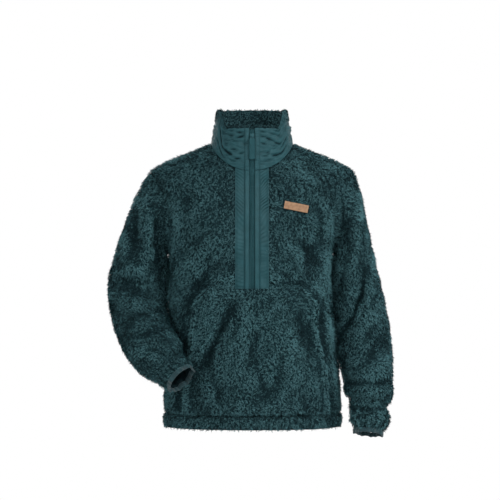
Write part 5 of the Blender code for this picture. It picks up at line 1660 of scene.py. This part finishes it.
class PulloverSettings(bpy.types.PropertyGroup):
    """All settings of the pullover."""

    pile: PointerProperty(type=PileSettings)
    colours: PointerProperty(type=ColourSettings)
    stage: PointerProperty(type=StageSettings)


# ---- operators
class Step:
    """What the operators share: they run their work on the pullover's settings."""

    def execute(self, context):
        """Runs each job in turn."""
        for job in self.work:
            job(context.scene.pullover)
        return {"FINISHED"}


class PULLOVER_OT_materials(Step, bpy.types.Operator):
    """Make the finishes"""

    bl_idname = "pullover.materials"
    bl_label = "Finishes"
    work = (make_materials,)


class PULLOVER_OT_front(Step, bpy.types.Operator):
    """Dress the front panel"""

    bl_idname = "pullover.front"
    bl_label = "Front"
    work = (dress_front,)


class PULLOVER_OT_back(Step, bpy.types.Operator):
    """Dress the back panel"""

    bl_idname = "pullover.back"
    bl_label = "Back"
    work = (dress_back,)


class PULLOVER_OT_pocket(Step, bpy.types.Operator):
    """Dress the pouch pocket"""

    bl_idname = "pullover.pocket"
    bl_label = "Pouch"
    work = (dress_pocket,)


class PULLOVER_OT_sleeves(Step, bpy.types.Operator):
    """Dress both sleeves and their cuffs"""

    bl_idname = "pullover.sleeves"
    bl_label = "Sleeves and cuffs"
    work = (dress_sleeves,)


class PULLOVER_OT_collar(Step, bpy.types.Operator):
    """Dress the collar's nylon and its lining"""

    bl_idname = "pullover.collar"
    bl_label = "Collar and lining"
    work = (dress_collar, dress_lining)


class PULLOVER_OT_placket(Step, bpy.types.Operator):
    """Dress the two placket strips"""

    bl_idname = "pullover.placket"
    bl_label = "Placket"
    work = (dress_placket,)


class PULLOVER_OT_zip(Step, bpy.types.Operator):
    """Make the zip's coil, slider and pull"""

    bl_idname = "pullover.zip"
    bl_label = "Zip"
    work = (dress_zip, dress_slider, dress_pull)


class PULLOVER_OT_label(Step, bpy.types.Operator):
    """Dress the chest label"""

    bl_idname = "pullover.label"
    bl_label = "Chest label"
    work = (dress_label,)


class PULLOVER_OT_stage(Step, bpy.types.Operator):
    """Make the floor, the lights and the camera"""

    bl_idname = "pullover.stage"
    bl_label = "Stage"
    work = (make_stage,)


OPERATORS = (
    PULLOVER_OT_materials, PULLOVER_OT_front, PULLOVER_OT_back, PULLOVER_OT_pocket, PULLOVER_OT_sleeves,
    PULLOVER_OT_collar, PULLOVER_OT_placket, PULLOVER_OT_zip, PULLOVER_OT_label, PULLOVER_OT_stage,
)


class PULLOVER_PT_sidebar(bpy.types.Panel):
    """Settings and steps of the pullover"""

    bl_label = "Fleece pullover"
    bl_idname = "PULLOVER_PT_sidebar"
    bl_space_type = "VIEW_3D"
    bl_region_type = "UI"
    bl_category = "Pullover"

    def draw(self, context):
        for part in PulloverSettings.__annotations__:
            settings, box = getattr(context.scene.pullover, part), self.layout.box()
            for name in settings.__annotations__:
                box.prop(settings, name)
        for step in OPERATORS:
            self.layout.operator(step.bl_idname)


CLASSES = (PileSettings, ColourSettings, StageSettings, PulloverSettings, *OPERATORS, PULLOVER_PT_sidebar)


def register():
    """Adds the classes and the scene's settings."""
    for entry in CLASSES:
        bpy.utils.register_class(entry)
    bpy.types.Scene.pullover = PointerProperty(type=PulloverSettings)


def unregister():
    """Takes the settings and classes away again."""
    del bpy.types.Scene.pullover
    for entry in reversed(CLASSES):
        bpy.utils.unregister_class(entry)


def main():
    """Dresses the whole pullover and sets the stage."""
    register()
    for step in OPERATORS:
        getattr(bpy.ops.pullover, step.bl_idname.split(".")[1])()


if __name__ == "__main__":
    main()
